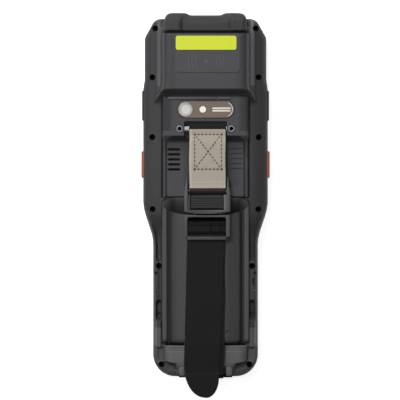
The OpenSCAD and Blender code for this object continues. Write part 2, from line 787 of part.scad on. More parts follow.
// Slopes of the bottom cap's back, and its raised middle
module bottom_cap() color("#4a4a4d") difference() {
    union() {
        intersection() {
            loft([0, 0, 0.4, 1.4, shoulder_roll],
                 [split_z, shoulder_z - 3.8, shoulder_z - 2, shoulder_z - 0.7, shoulder_z]);
            block([-60, 60], [-200, cap_lip_y], [shoulder_z - 3.2 + fit, 40]);
        }
        intersection() {
            along_y([y_bottom + 0.2, cap_lip_y]) translate([0, cap_top_z[0] - 6])
                round_rect(deck_w, 12, 3);
            along_x([-40, 40]) polygon([
                [cap_lip_y, shoulder_z - 1], [cap_lip_y, cap_top_z[0]], [y_bottom + 6, cap_top_z[1]],
                [y_bottom + 0.2, cap_top_z[1] - 1.5], [y_bottom + 0.2, shoulder_z - 1]
            ]);
            upright([0, 40]) polygon([
                [-23.2, cap_lip_y], [23.2, cap_lip_y], [23.2, y_bottom + 9], [16.9, y_bottom + 7.4],
                [14.6, y_bottom + 0.2], [-14.6, y_bottom + 0.2], [-16.9, y_bottom + 7.4],
                [-23.2, y_bottom + 9]
            ]);
        }
    }
    block([-60, 60], [cap_lip_y - 1.6 - fit, cap_lip_y + 1], [0, wing_z + fit]);
    block([-lug_x[0], lug_x[0]], [y_bottom - 1, y_bottom + 5], [pin_z - 3.6, 40]);
    both_sides() block([lug_x[0] - 0.5, lug_x[1] + fit], [y_bottom - 1, y_bottom + 6 + fit],
                       [0, 40]);
    both_sides() translate([screw_at[5][0], screw_at[5][1], 0]) cylinder(d = head_d + 0.3, h = 40);
}

// ---- Fasteners ----

module housing_screws() color("black")
    both_sides() for (p = screw_at) translate([p[0], p[1], 0]) difference() {
        union() {
            translate([0, 0, plate_in + 1]) cylinder(d = screw_d, h = seat_z - plate_in - 0.9);
            translate([0, 0, seat_z]) cylinder(d = head_d, h = 1.5);
        }
        translate([0, 0, seat_z + 0.8]) cylinder(d = 1.5, h = 2);
    }

module bar_screws() color("silver")
    both_sides() translate([bar_screw_x, bar_y, 0]) difference() {
        union() {
            translate([0, 0, bar_z - 4.4]) cylinder(d = bar_screw_d, h = 4.5 + bar_d / 2);
            translate([0, 0, bar_z + bar_d / 2 - 0.7]) cylinder(d = bar_head_d, h = 1.4);
        }
        translate([0, 0, bar_z + bar_d / 2]) cylinder(d = 1.6, h = 2);
    }

// ---- Side keys ----

// Key at y on the right side: head through the wall, flange inside it
module side_key(y, len, proud, shade) color(shade) {
    face = side_w / 2 + proud;
    block([flange_x[1] - 0.1, face - 0.4], [y - len / 2, y + len / 2], side_key_z);
    block([flange_x[1] - 0.1, face], [y - len / 2 + 0.4, y + len / 2 - 0.4],
          [side_key_z[0] + 0.4, side_key_z[1] - 0.4]);
    block(flange_x, [y - len / 2 - 0.8, y + len / 2 + 0.8],
          [side_key_z[0] - 0.8, side_key_z[1] + 0.6]);
}

// ---- Battery pack ----

module ridge_profile(r) {
    for (x = [-cell_x, cell_x]) translate([x, cell_z]) circle(r);
    translate([-cell_x, cell_z - r]) square([2 * cell_x, 2 * r]);
}

module pack_outer() {
    intersection() {
        union() {
            along_y([y_pack, y_seam - scoop_len]) ridge_profile(ridge_r);
            block([-ridge_w / 2, ridge_w / 2], [y_pack, y_seam], [tray_z, wing_under + 1]);
            block([-wing_w / 2, wing_w / 2], [y_pack, y_seam], [wing_under, wing_z]);
            block([-wing_w / 2, wing_w / 2], [y_seam - scoop_len - 1, y_seam], [wing_under, nose_z]);
        }
        rod_x([-50, 50], tilt_y, tilt_z, 2 * pack_r);
        block([-50, 50], [y_pack, y_seam + 1], [tray_z, 40]);
    }
}

// Hollow grooves between the ridge and the wings' outer edges
module wing_grooves() {
    both_sides() translate([ridge_w / 2 + 1.4, 0, wing_z + 0.9]) rotate([90, 0, 0])
        translate([0, 0, -y_seam + 9]) cylinder(r = 1.7, h = pack_len);
}

// Oval finger scoop whose floor falls towards the ridge
module scoop() {
    intersection() {
        upright([nose_under, 40]) scoop_plan();
        along_x([-40, 40]) polygon([
            [y_seam + 1, nose_z], [y_seam - 0.6, nose_z], [y_seam - scoop_len - 1, nose_z - scoop_depth],
            [y_seam - scoop_len - 1, 40], [y_seam + 1, 40]
        ]);
    }
}

// Oval with a straight upper edge; its lower edge is a superellipse
module scoop_plan() {
    reach = scoop_w / 2;
    polygon(concat(
        [for (i = [0:24]) let (x = -reach + i * reach / 12)
            [x, y_seam - scoop_len * pow(1 - pow(abs(x) / reach, 2.7), 1 / 2.7)]],
        [[reach, y_seam + 1], [-reach, y_seam + 1]]
    ));
}

module cell_room() {
    for (x = [-cell_x, cell_x]) translate([x, cells_y[1] + fit, cell_z]) rotate([90, 0, 0])
        cylinder(d = cell_d + 2 * fit, h = cell_len + 2 * fit);
}

module cover_zone() {
    block([-50, 50], [y_pack - 1, y_seam + 1], [wing_under, 40]);
    block([-50, 50], [cells_y[1] + 1.5, y_seam + 1], [nose_under, 40]);
}

module latch_room() {
    block([-latch_half - gap, latch_half + gap], [latch_y[0] - latch_travel - gap, latch_y[1] + gap],
          [latch_z[0] - fit, 40]);
    block([-latch_half_tip - gap, latch_half_tip + gap], [latch_y[1] - 1, y_seam + 1],
          [latch_z[0] - fit, latch_z[0] + 2.3]);
}

module battery_cover() color("#48484b") {
    difference() {
        intersection() {
            pack_outer();
            cover_zone();
        }
        wing_grooves();
        scoop();
        cell_room();
        latch_room();
    }
    both_sides() block([14, 18], [y_pack - 1.6, y_pack + 2], [wing_under, wing_under + 1.3]);
}

module battery_tray() color("#48484b") difference() {
    pack_outer();
    translate([0, 0, -fit]) cover_zone();
    cell_room();
    for (x = [12.5:2:17.5]) block([x, x + 1], [y_seam - 4, y_seam + 1], [9.5, 12.5]);
}

module battery_cells() color("steelblue")
    for (x = [-cell_x, cell_x]) translate([x, cells_y[1], cell_z]) rotate([90, 0, 0])
        cylinder(d = cell_d, h = cell_len);

module battery_latch() color("#2c2c2e") {
    block([-latch_half, latch_half], latch_y, latch_z);
    block([-latch_half_tip, latch_half_tip], [latch_y[1] - 0.5, y_seam + 1.2],
          [latch_z[0], latch_z[0] + 2]);
    for (i = [0:2])
        block([-latch_half + 1, latch_half - 1], [latch_y[0] + 0.8 + i * 1.9, latch_y[0] + 1.7 + i * 1.9],
              [latch_z[1] - 0.1, latch_z[1] + 0.6]);
}

module latch_springs() color("silver")
    both_sides() translate([5.5, latch_y[0], latch_z[0] + 1.5]) rotate([90, 0, 0]) difference() {
        cylinder(d = 2.6, h = latch_travel + gap);
        translate([0, 0, -1]) cylinder(d = 1.8, h = latch_travel + 3);
    }

// ---- Hand strap ----

module strap_bar() color("silver") difference() {
    rod_x([-bar_half, bar_half], bar_y, bar_z, bar_d);
    both_sides() translate([bar_screw_x, bar_y, 0]) {
        cylinder(d = bar_screw_d + 0.1, h = 60);
        translate([0, 0, bar_z + bar_d / 2 - 0.7]) cylinder(d = bar_head_d + 0.6, h = 5);
    }
}

// Flat band between two points in the Y-Z plane
module band(a, b, t) {
    translate(a) rotate(atan2(b[1] - a[1], b[0] - a[0]))
        translate([0, -t / 2]) square([norm(b - a), t]);
}

module webbing_core() color("#1d1d1f") along_x([web_x - web_w / 2 + 0.3, web_x + web_w / 2 - 0.3])
    difference() {
        union() {
            translate(bar_at) circle(bar_eye + strap_t);
            translate(clip_bar_at) circle(clip_eye + strap_t);
            band(bar_at, clip_bar_at, 2 * strap_t);
        }
        translate(bar_at) circle(bar_eye);
        translate(clip_bar_at) circle(clip_eye);
    }

module webbing_tab() color("#aaa498") along_x([web_x - web_w / 2, web_x + web_w / 2]) {
    tilt = atan2(bar_z - clip_bar_z, bar_y - clip_bar_y);
    reach = norm(bar_at - clip_bar_at);
    translate(clip_bar_at) rotate(tilt)
        translate([clip_eye + strap_t + 0.1, strap_t])
            square([reach - clip_eye - bar_eye - 2 * strap_t - 0.2, tab_t]);
}

// Upper half of the buckle: rails, cross bar, window and a floor under the button
module strap_clip() color("#56565a") translate([web_x, 0, 0]) {
    rail = [web_w / 2 + 0.35, clip_w / 2];
    both_sides() along_x(rail) polygon([
        [clip_y[0], layer_z + 0.3], [clip_y[0], clip_z[1]], [clip_y[1] - 6, clip_z[1]],
        [clip_y[1], clip_z[1] - 2.4], [clip_y[1], clip_z[1] - 4], [clip_y[1] - 5, clip_z[0]],
        [clip_y[0] + 3, clip_z[0]], [clip_y[0] + 3, layer_z + 0.3]
    ]);
    rod_x([-rail[0] - 0.5, rail[0] + 0.5], clip_bar_y, clip_bar_z, clip_bar_d);
    block([-rail[0] - 0.5, rail[0] + 0.5], [clip_y[0], clip_y[0] + 2.4],
          [clip_under, clip_z[1]]);
    both_sides() block([button_half + 0.25, rail[0] + 0.5], [clip_y[0], button_y[1] + 0.15],
                       [clip_under, clip_z[1]]);
    block([-rail[0] - 0.5, rail[0] + 0.5], [clip_y[0] + 3, button_y[1] + 0.6],
          [clip_z[0], clip_floor_z]);
}

module clip_button() color("#3c3c3f") translate([web_x, 0, 0]) {
    block([-button_half, button_half], button_y, [button_top - button_t, button_top - 0.3]);
    for (i = [0:4]) {
        step = (button_y[1] - button_y[0] - 0.6) / 5;
        block([-button_half + 0.5, button_half - 0.5],
              [button_y[0] + 0.3 + i * step, button_y[0] + 0.3 + (i + 0.6) * step],
              [button_top - 0.35, button_top]);
    }
}

module clip_spring() color("silver")
    translate([web_x, (button_y[0] + button_y[1]) / 2, clip_floor_z]) difference() {
        cylinder(d = 4.4, h = button_top - button_t - clip_floor_z);
        translate([0, 0, -1]) cylinder(d = 3.4, h = 10);
    }

// Lower half of the buckle: a ladder frame and the tongue that goes under the clip
module strap_frame() color("#56565a") translate([web_x, 0, 0]) {
    half = clip_w / 2 - 0.25;
    slot_half = strap_w / 2 + 0.85;
    top = strap_top_z;
    both_sides() block([slot_half, half], frame_y, [layer_z + 0.1, top]);
    block([-half, half], [frame_y[1] - 1.5, frame_y[1]], [tongue_z[0], top]);
    block([-half, half], [frame_y[0], frame_y[0] + 1.8], [tail_z + strap_t + 0.3, top]);
    block([-half, half], mid_bar_y, mid_bar_z);
    block([-7, 7], [frame_y[1] - 1, clip_y[0] + 2.2], tongue_z);
}

// Lower layer: round the bottom pin, up the ridge and over the frame's middle bar
module strap_lower() color("#202022") difference() {
    along_x([lower_x - strap_w / 2, lower_x + strap_w / 2]) difference() {
        union() {
            translate([pin_y, pin_z]) circle(pin_eye + strap_t);
            polygon([
                [pin_y, pin_top], [bend_y, layer_z], [wrap_y[1], layer_z], [wrap_y[1], wrap_top],
                [mid_bar_y[0] - 0.1, wrap_top], [mid_bar_y[0] - 0.1, mid_bar_z[1] + 0.1],
                [mid_bar_y[1] + 0.1, mid_bar_z[1] + 0.1], [mid_bar_y[1] + 0.1, layer_z + strap_t],
                [bend_y, layer_z + strap_t], [pin_y, pin_top + strap_t]
            ]);
        }
        translate([pin_y, pin_z]) circle(pin_eye);
    }
}

// Upper layer: from the frame down over the lower layer, past the end of the body
module strap_tail() color("#202022") intersection() {
    along_x([-40, 40]) {
        slope = (layer_z - pin_top) / (bend_y - pin_y);
        drop = slope * (bend_y - y_tail + 1);
        leg = mid_bar_y[0] - 0.1;
        polygon([
            [y_tail - 1, tail_z - drop], [bend_y, tail_z], [leg, tail_z], [leg, wrap_top],
            [wrap_y[0], wrap_top], [wrap_y[0], tail_z + strap_t], [bend_y, tail_z + strap_t],
            [y_tail - 1, tail_z + strap_t - drop]
        ]);
    }
    upright([0, 40]) {
        start = [lower_x, wrap_y[0] - 12];
        translate(tail_end) circle(tail_end_r);
        translate(tail_end) rotate(-atan2(start[0] - tail_end[0], start[1] - tail_end[1]))
            translate([-tail_end_r, 0]) square([2 * tail_end_r, norm(start - tail_end)]);
        translate([lower_x - strap_w / 2, start[1] - 3]) square([strap_w, 30]);
    }
}

module strap_pin() color("silver")
    rod_x([-lug_x[1], lug_x[1]], pin_y, pin_z, pin_d);

// ---- Assembly ----

rear_housing();
front_housing();
housing_seal();
top_bumper();
bottom_cap();
housing_screws();
scan_window();
scan_engine();
reader_antenna();
hump_inlay();
blank_label();
camera_bezel();
camera_lens();
flash_lens();
camera_module();
speaker();
main_board();
side_switches();
display_glass();
display_panel();
keypad_mat();
keypad_board();
battery_contacts();
dock_contacts();
mirror([1, 0, 0]) side_key(scan_key_y, scan_key_len, scan_key_proud, "orangered");  // scan_key_left
side_key(scan_key_y, scan_key_len, scan_key_proud, "orangered");  // scan_key_right
mirror([1, 0, 0]) side_key(upper_key_y, upper_key_len, upper_key_proud, "#333335");  // upper_key_left
side_key(upper_key_y, upper_key_len, upper_key_proud, "#333335");  // upper_key_right
battery_cover();
battery_tray();
battery_cells();
battery_latch();
latch_springs();
strap_bar();
bar_screws();
webbing_core();
webbing_tab();
strap_clip();
clip_button();
clip_spring();
strap_frame();
strap_lower();
strap_tail();
strap_pin();
keycap(key_at(0, 2), "orangered");  // scan_key_front
keycap(key_at(0, 1), "#333335");  // function_key_left
keycap(key_at(0, 3), "#333335");  // function_key_right
for (r = [1:NUMBER_ROWS], c = [1:NUMBER_COLS])
    keycap(key_at(r, c), "lightgray");
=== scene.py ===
"""Handheld data terminal: skins, straps, buckle, trim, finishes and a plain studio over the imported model."""

import math

import bmesh
import bpy
import numpy as np
from bpy.props import FloatProperty, FloatVectorProperty, PointerProperty
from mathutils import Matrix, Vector


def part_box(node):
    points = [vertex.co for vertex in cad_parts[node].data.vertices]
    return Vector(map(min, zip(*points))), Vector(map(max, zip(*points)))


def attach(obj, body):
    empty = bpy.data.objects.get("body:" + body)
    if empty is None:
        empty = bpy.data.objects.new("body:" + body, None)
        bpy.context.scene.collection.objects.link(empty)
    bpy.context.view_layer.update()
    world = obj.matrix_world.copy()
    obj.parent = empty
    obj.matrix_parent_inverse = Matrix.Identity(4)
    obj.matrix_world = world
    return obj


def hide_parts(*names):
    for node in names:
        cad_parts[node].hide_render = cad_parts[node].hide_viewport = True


bl_info = {
    "name": "Handheld data terminal",
    "version": (1, 0, 0),
    "blender": (4, 5, 0),
    "location": "View3D > Sidebar > Terminal",
    "description": "Builds the looks of a handheld data terminal around its packed model",
    "category": "Object",
}

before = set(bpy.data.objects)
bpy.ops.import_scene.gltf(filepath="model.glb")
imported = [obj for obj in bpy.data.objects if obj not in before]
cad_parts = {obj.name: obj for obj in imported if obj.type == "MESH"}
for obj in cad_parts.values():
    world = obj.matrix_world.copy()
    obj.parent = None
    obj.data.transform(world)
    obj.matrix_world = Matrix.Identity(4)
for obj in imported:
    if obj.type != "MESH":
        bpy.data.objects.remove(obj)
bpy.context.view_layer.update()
MM = 0.001


def span(node):
    """Lowest and highest corner of a node, in millimetres."""
    low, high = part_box(node)
    return np.array(low) / MM, np.array(high) / MM


# ---- Places and sizes that the pieces share, in millimetres ----

FRONT_LOW, FRONT_HIGH = span("front_housing")
COVER_LOW, COVER_HIGH = span("battery_cover")
BEZEL_LOW, BEZEL_HIGH = span("camera_bezel")
TAB_LOW, TAB_HIGH = span("webbing_tab")
CLIP_LOW, CLIP_HIGH = span("strap_clip")
LADDER_LOW, LADDER_HIGH = span("strap_frame")
BUTTON_LOW, BUTTON_HIGH = span("clip_button")
CAP_TOP = span("bottom_cap")[1][1]

# Lines across the back, from the top end down: cap, hump, its slope, camera flat, battery
Y_SHELL, Y_BOTTOM = FRONT_HIGH[1], FRONT_LOW[1]
Y_CAP = span("top_bumper")[0][1] - 0.1
Y_HUMP = Y_CAP - 32.5
Y_SLOPE = Y_HUMP - 4.1
Y_PLATEAU = Y_SLOPE - 23.2
Y_SEAM, Y_PACK = COVER_HIGH[1], COVER_LOW[1] + 1.6
# Heights: hump, camera flat, deck, shoulders, battery ledge, joint of the shells, foot of the hump's sides, neck
# over the battery's well, floors of the screw wells and of the small holes, and one over everything, for cutters
HUMP_Z = span("rear_housing")[1][2]
PLATEAU_Z, DECK_Z, SHOULDER_Z, LEDGE_Z, JOINT_Z = 26.5, 23.5, 20.8, 21.3, 11.1
HUMP_FOOT_Z, NECK_Z, WELL_FLOOR, HOLE_FLOOR, ABOVE = 23.7, 17.4, 17.5, 16.5, 40
# Half widths of the body and the battery, their corners, and where the outline widens and narrows
HEAD_HALF, WAIST_HALF, GRIP_HALF, PACK_HALF = 35.4, 36.25, 30.45, 25.2
TOP_CORNER, LOW_CORNER, CORNER_CUT, PACK_CORNER = 6.0, 13.0, (6.2, 11.0), 2.0
FLARE = (Y_HUMP + 6.6, Y_HUMP - 1.4)
TAPER = (Y_SEAM - 1.7, Y_SEAM - 27.7)
# Screw wells and marks beside the battery, each on both sides
WELLS = [(29.2, Y_SHELL - 5.7), (30.8, Y_HUMP + 6.8), (30.9, Y_PLATEAU - 0.7),
         (30.7, Y_SEAM - 6.8), (27.1, Y_SEAM - 39.7), (25.5, Y_BOTTOM + 7)]
WELL_RADIUS = 1.72
EYELET = (28.3, Y_SEAM - 54.6)
BAR_SCREW_X = 15.0
# Bars that the webbing and the strap turn round, as y and z
BAR = (Y_PLATEAU + 4.2, PLATEAU_Z - 2.4)
CLIP_BAR = (8.2, 28.0)
PIN = (Y_BOTTOM + 0.8, 24.2)
# Middles of the webbing and the strap, the strap's thickness, the end of its tail, and the finger scoop
WEB_X, STRAP_X, STRAP_T = 1.0, 0.5, 0.9
TAIL_LOW = span("strap_tail")[0][1]
SCOOP_LENGTH, SCOOP_REACH, SCOOP_POWER = 10.2, 26.2, 2.7
SIDES = ((-1, "left"), (1, "right"))


# ---- Settings that a user would change ----

def colour(name, text, red, green, blue):
    """Colour property whose default is written as it should look, 0 to 255 a channel."""
    linear = [((c / 255 + 0.055) / 1.055) ** 2.4 if c > 10 else c / 255 / 12.92 for c in (red, green, blue)]
    return FloatVectorProperty(name=name, description=text, subtype="COLOR", size=3, min=0, max=1, default=linear)


def measure(name, text, default, low, high, unit="LENGTH"):
    """Number property with its range."""
    return FloatProperty(name=name, description=text, default=default, min=low, max=high, unit=unit)


class TerminalForms(bpy.types.PropertyGroup):
    hump_rim: measure("Hump rim", "Radius of the scan hump's long edges", 0.0052, 0.001, 0.009)
    shoulder_roll: measure("Shoulder roll", "Radius that the shoulders roll over with", 0.0040, 0.001, 0.006)
    shoulder_crown: measure("Shoulder crown", "Bend of the shoulders across, per millimetre", 0.02, 0, 0.05, "NONE")
    scoop_depth: measure("Scoop depth", "Depth of the finger scoop at its lower end", 0.0063, 0.002, 0.008)
    stitch_pitch: measure("Stitch pitch", "Distance from one stitch to the next", 0.0021, 0.001, 0.005)
    weave_pitch: measure("Weave pitch", "Width of one yarn of the webbing", 0.0009, 0.0004, 0.002)


class TerminalColours(bpy.types.PropertyGroup):
    housing: colour("Housing", "Moulded plastic of the shells", 66, 66, 69)
    bumper: colour("Bumper", "Rubber of the top bumper", 58, 58, 60)
    # Painted shade: a darker copy of the housing colour for the shoulders
    shoulder: colour("Shoulders", "Shoulders of the rear shell, a little darker than its raised back", 50, 50, 52)
    # Painted highlight: the bottom cap is the bumper's rubber, made lighter in its middle for the light it catches
    cap: colour("Bottom cap", "Middle of the bottom cap", 105, 105, 105)
    battery: colour("Battery", "Moulded plastic of the battery cover", 63, 63, 64)
    buckle: colour("Buckle", "Moulded plastic of the strap's clip and frame", 60, 61, 63)
    webbing: colour("Webbing", "Grey webbing at the top of the strap", 172, 164, 150)
    strap: colour("Strap", "Black strap", 20, 20, 21)
    thread: colour("Thread", "Stitches in the grey webbing", 92, 78, 68)
    label: colour("Label", "Blank label on the hump", 214, 226, 36)
    bezel: colour("Bezel", "Camera bezel", 108, 96, 86)
    scan_key: colour("Scan key", "Orange scan keys", 160, 76, 56)


class TerminalStage(bpy.types.PropertyGroup):
    floor: measure("Floor", "Paleness of the floor", 0.86, 0, 1, "NONE")
    key_light: measure("Key light", "Power of the panel above and behind", 13.0, 0, 100, "POWER")
    side_light: measure("Side lights", "Power of each strip beside", 0.9, 0, 10, "POWER")
    camera_height: measure("Camera height", "Height of the camera above the floor", 2.4, 0.5, 5)


def forms():
    """Sizes that the user has set."""
    return bpy.context.scene.terminal_forms


def shade(rgb, factor):
    """Colour made darker or lighter, up to white."""
    return tuple(min(1.0, c * factor) for c in rgb)


def tone(name, factor=1.0):
    """One of the user's colours, made darker or lighter."""
    return shade(getattr(bpy.context.scene.terminal_colours, name), factor)


# ---- Nodes: sockets that take arithmetic, and one maker of nodes ----

class Port:
    """Output socket of a node; arithmetic on it adds Math nodes."""

    def __init__(self, owner, socket):
        self.owner, self.socket = owner, socket

    def math(self, operation, *values):
        return self.owner.node("ShaderNodeMath", {"operation": operation}, dict(enumerate(values)))

    __add__ = lambda self, other: self.math("ADD", self, other)
    __radd__ = lambda self, other: self.math("ADD", other, self)
    __sub__ = lambda self, other: self.math("SUBTRACT", self, other)
    __rsub__ = lambda self, other: self.math("SUBTRACT", other, self)
    __mul__ = lambda self, other: self.math("MULTIPLY", self, other)
    __rmul__ = lambda self, other: self.math("MULTIPLY", other, self)
    __lt__ = lambda self, other: self.math("LESS_THAN", self, other)
    __gt__ = lambda self, other: self.math("GREATER_THAN", self, other)
    __abs__ = lambda self: self.math("ABSOLUTE", self)


class Tree:
    """Node tree under construction, of a material, the world or a piece."""

    def __init__(self, tree):
        self.tree = tree
        tree.nodes.clear()

    def node(self, kind, settings=(), values=(), out=0):
        """Adds a node: first its settings, then the values or links of its sockets."""
        made = self.tree.nodes.new(kind)
        for key, value in dict(settings).items():
            setattr(made, key, value)
        for key, value in dict(values).items():
            socket = made.inputs[key]
            if isinstance(value, Port):
                self.tree.links.new(value.socket, socket)
            else:
                socket.default_value = (*value, 1) if socket.type == "RGBA" and len(value) == 3 else value
        return Port(self, made.outputs[out]) if made.outputs else None

    def either_ray(self, *kinds):
        """One for rays of either kind, and zero for the others."""
        rays = [self.node("ShaderNodeLightPath", out=f"Is {kind} Ray") for kind in kinds]
        return rays[0].math("MAXIMUM", *rays)


class Paint(Tree):
    """One material under construction."""

    def __init__(self, name):
        self.material = bpy.data.materials.new(name)
        self.material.use_nodes = True
        super().__init__(self.material.node_tree)

    def place(self):
        return self.node("ShaderNodeTexCoord", out="Object")

    def axes(self, vector=None):
        """Three numbers of a vector, which is the place on the object unless it is given."""
        split = self.node("ShaderNodeSeparateXYZ", (), {0: vector or self.place()})
        return [Port(self, output) for output in split.socket.node.outputs]

    def noise(self, size, detail=2.0, stretch=None):
        """Soft noise between 0 and 1, with features of that size in metres."""
        where = self.place()
        if stretch:
            where = self.node("ShaderNodeVectorMath", {"operation": "MULTIPLY"}, {0: where, 1: stretch})
        return self.node("ShaderNodeTexNoise", (), {"Vector": where, "Scale": 1 / size, "Detail": detail})

    def blend(self, factor, low, high):
        return self.node("ShaderNodeMix", {"data_type": "RGBA"}, {0: factor, 6: low, 7: high}, out=2)

    def spread(self, factor, rgb, less, more):
        """Colour that varies between a darker and a lighter one."""
        return self.blend(factor, shade(rgb, less), shade(rgb, more))

    def bump(self, height, distance, strength=1.0, edge=None):
        """Relief from a height, over edges rounded with a radius if there is one."""
        values = {"Height": height, "Distance": distance, "Strength": strength}
        if edge:
            values["Normal"] = self.node("ShaderNodeBevel", {"samples": 4}, {"Radius": edge})
        return self.node("ShaderNodeBump", (), values)

    def surface(self, **values):
        """Ends the material in one surface shader."""
        sockets = {key.replace("_", " "): value for key, value in values.items()}
        made = self.node("ShaderNodeBsdfPrincipled", (), sockets)
        self.node("ShaderNodeOutputMaterial", (), {"Surface": made})
        return self.material


# ---- Painted shade and highlights on some pieces' plastic, in metres: masks and colours ----

def within(value, low, high):
    """One between two values, and zero elsewhere."""
    return (value > low) * (value < high)


def shell_painted_light(x, y, z):
    """Rear shell's painted shade and highlights: on the shoulders, then parts of the hump, the camera flat, the deck
    and the low lands.
    """
    ax = abs(x)
    high = HUMP_FOOT_Z * MM
    foot = (y > (Y_HUMP + 2) * MM) * (z < high) * (1 - abs(ax - 0.0271) * 600)
    camera_flat = (z < 0.0272) * within(y, (Y_PLATEAU + 3) * MM, (Y_SLOPE + 0.5) * MM) * (ax < 0.0256)
    deck = (z < 0.0245) * (ax < 0.0236) * within(y, (Y_SEAM + 6) * MM, Y_PLATEAU * MM)
    beyond = (ax - 0.018).math("MAXIMUM", ax - 0.018, 0.0)
    deck_head = (z < 0.0263) * (ax < 0.0246) * (y + beyond * beyond * 140 < (Y_PLATEAU + 0.2) * MM)
    lands = within(ax, 0.0254, 0.0296) * within(y, (Y_PACK - 6) * MM, (Y_PACK + 9) * MM)
    factors = (
        ((y > (Y_HUMP - 3) * MM) * (z > high) * ((0.0327 - z) * 900), 0.5),    # painted shade on the hump's sides and nose
        ((z > 0.0322) * ((ax - 0.016) * 330), 0.74),                           # painted shade on its top, beside the inlay
        (foot, 1.8),                                                           # painted highlight along its foot
        (foot * (x > 0), 2.7),                                                 # and a stronger painted highlight on the right
        (camera_flat * ((ax - 0.0184) * 350), 0.42),                           # painted shade at the ends of the camera flat
        (deck * (1 - (abs(x - WEB_X * MM) - 0.0106) * (250 - (x > 0) * 148)), 0.42),    # painted shadow of the webbing beside it, wider on the right
        (deck_head * ((y - (Y_PLATEAU - 13) * MM) * 76), 0.24),                # painted shadow under the camera flat's edge
        # Painted highlight on the low lands beside the battery's lower end
        (lands, 1.45))
    # Painted shade on the low shoulders, below 22.6 mm, in the darker shoulder colour
    return [((0.0226 - z) * 900.0, tone("shoulder"))] + [(mask, tone("housing", f)) for mask, f in factors]


def battery_painted_light(x, y, z):
    """Battery cover's painted shade on the flanks of its ridge, and painted highlight on its wings."""
    ax = abs(x)
    return ((1 - abs(ax - 0.0192) * 330, tone("battery", 0.42)), (within(ax, 0.0226, 0.0249), tone("battery", 1.3)))


def clip_painted_light(x, y, z):
    """Painted shade on the lip along the lower edge of the clip."""
    return (((y < (CLIP_LOW[1] + 1.3) * MM) * (z > (CLIP_HIGH[2] - 2.2) * MM), tone("buckle", 0.6)),)


# ---- Materials ----

def moulded(name, rgb, rough=0.5, grain=0.45, size=0.00035, edge=0.0004, specular=0.35, cloud=0.12, painted_light=None):
    """Moulded plastic or rubber: fine spark-eroded grain, faint clouds, edges that catch the light, and painted shade
    and highlights where masks are given.
    """
    p = Paint(name)
    fine, clouds, rubbed = p.noise(size, 3.0), p.noise(0.022, 3.0), p.noise(0.004, 4.0, (1.0, 0.35, 1.0))
    worn = clouds * 0.6 + rubbed * 0.4
    painted = p.spread(worn, rgb, 1 - cloud, 1 + cloud)
    # Painted shade and highlights: each mask blends in a darker or lighter copy of the colour
    for mask, tint in painted_light(*p.axes()) if painted_light else ():
        painted = p.blend(mask, painted, p.spread(worn, tint, 1 - cloud, 1 + cloud))
    return p.surface(Base_Color=painted, Roughness=rough - 0.08 + fine * 0.1 + worn * 0.08,
                     Normal=p.bump(fine + rubbed * 0.25, 0.00004, grain, edge), Specular_IOR_Level=specular)


def capped(name, rgb, sides=None):
    """Bumper rubber that turns coarse and darker on the lower corners and the two top pads."""
    p = Paint(name)
    x, y, z = p.axes()
    low = (y < (Y_BOTTOM + 8.2) * MM) * (abs(x) > 0.0172)
    pads = (abs(abs(x) - 0.0185) < 0.0036) * (y > (Y_CAP + 1.2) * MM)
    fine, coarse, clouds = p.noise(0.0005, 3.0), p.noise(0.0011, 2.0), p.noise(0.02, 3.0)
    grit = (coarse - 0.5) * (low + pads)
    mixed = clouds * 0.5 + 0.25 + grit * 1.4 - low * 0.2
    painted = p.spread(mixed, rgb, 0.5, 1.35)
    if sides:
        painted = p.blend((0.0248 - z) * 500.0, painted, p.spread(mixed, sides, 0.5, 1.35))
    return p.surface(Base_Color=painted, Roughness=0.55 + fine * 0.12,
                     Normal=p.bump(fine * 0.6 + grit * 3.0, 0.00006, 0.6, 0.0004), Specular_IOR_Level=0.3)


def metal(name, rgb, rough=0.28, brush=(1.0, 1.0, 1.0)):
    """Machined metal with faint drawn lines."""
    p = Paint(name)
    lines, dull = p.noise(0.0006, 4.0, brush), p.noise(0.006, 3.0)
    return p.surface(Base_Color=p.spread(dull, rgb, 0.86, 1.06), Metallic=1.0,
                     Roughness=rough - 0.06 + lines * 0.14 + dull * 0.06, Normal=p.bump(lines, 0.00002, 0.4, 0.0002))


def brushed(name, rgb):
    """Painted metal drawn along its length."""
    p = Paint(name)
    lines, tint = p.noise(0.0004, 4.0, (0.06, 1.0, 1.0)), p.noise(0.006, 2.0, (0.4, 1.0, 1.0))
    return p.surface(Base_Color=p.spread(lines * 0.65 + tint * 0.35, rgb, 0.72, 1.3), Metallic=0.25,
                     Roughness=0.34 + lines * 0.14, Normal=p.bump(lines, 0.00003, 0.4, 0.0003),
                     Specular_IOR_Level=0.5)


def clear_cover(name, rgb, rough=0.08, ring=0.0):
    """Glossy window or lens, darker towards what lies behind it."""
    p = Paint(name)
    film = p.noise(0.009)
    return p.surface(Base_Color=p.spread(film, rgb, 0.85, 1.12), Roughness=rough + film * 0.05,
                     Normal=p.bump(p.noise(0.004), 0.00002, 0.15 + ring, 0.0002),
                     Specular_IOR_Level=0.6, Coat_Weight=0.6, Coat_Roughness=0.04)


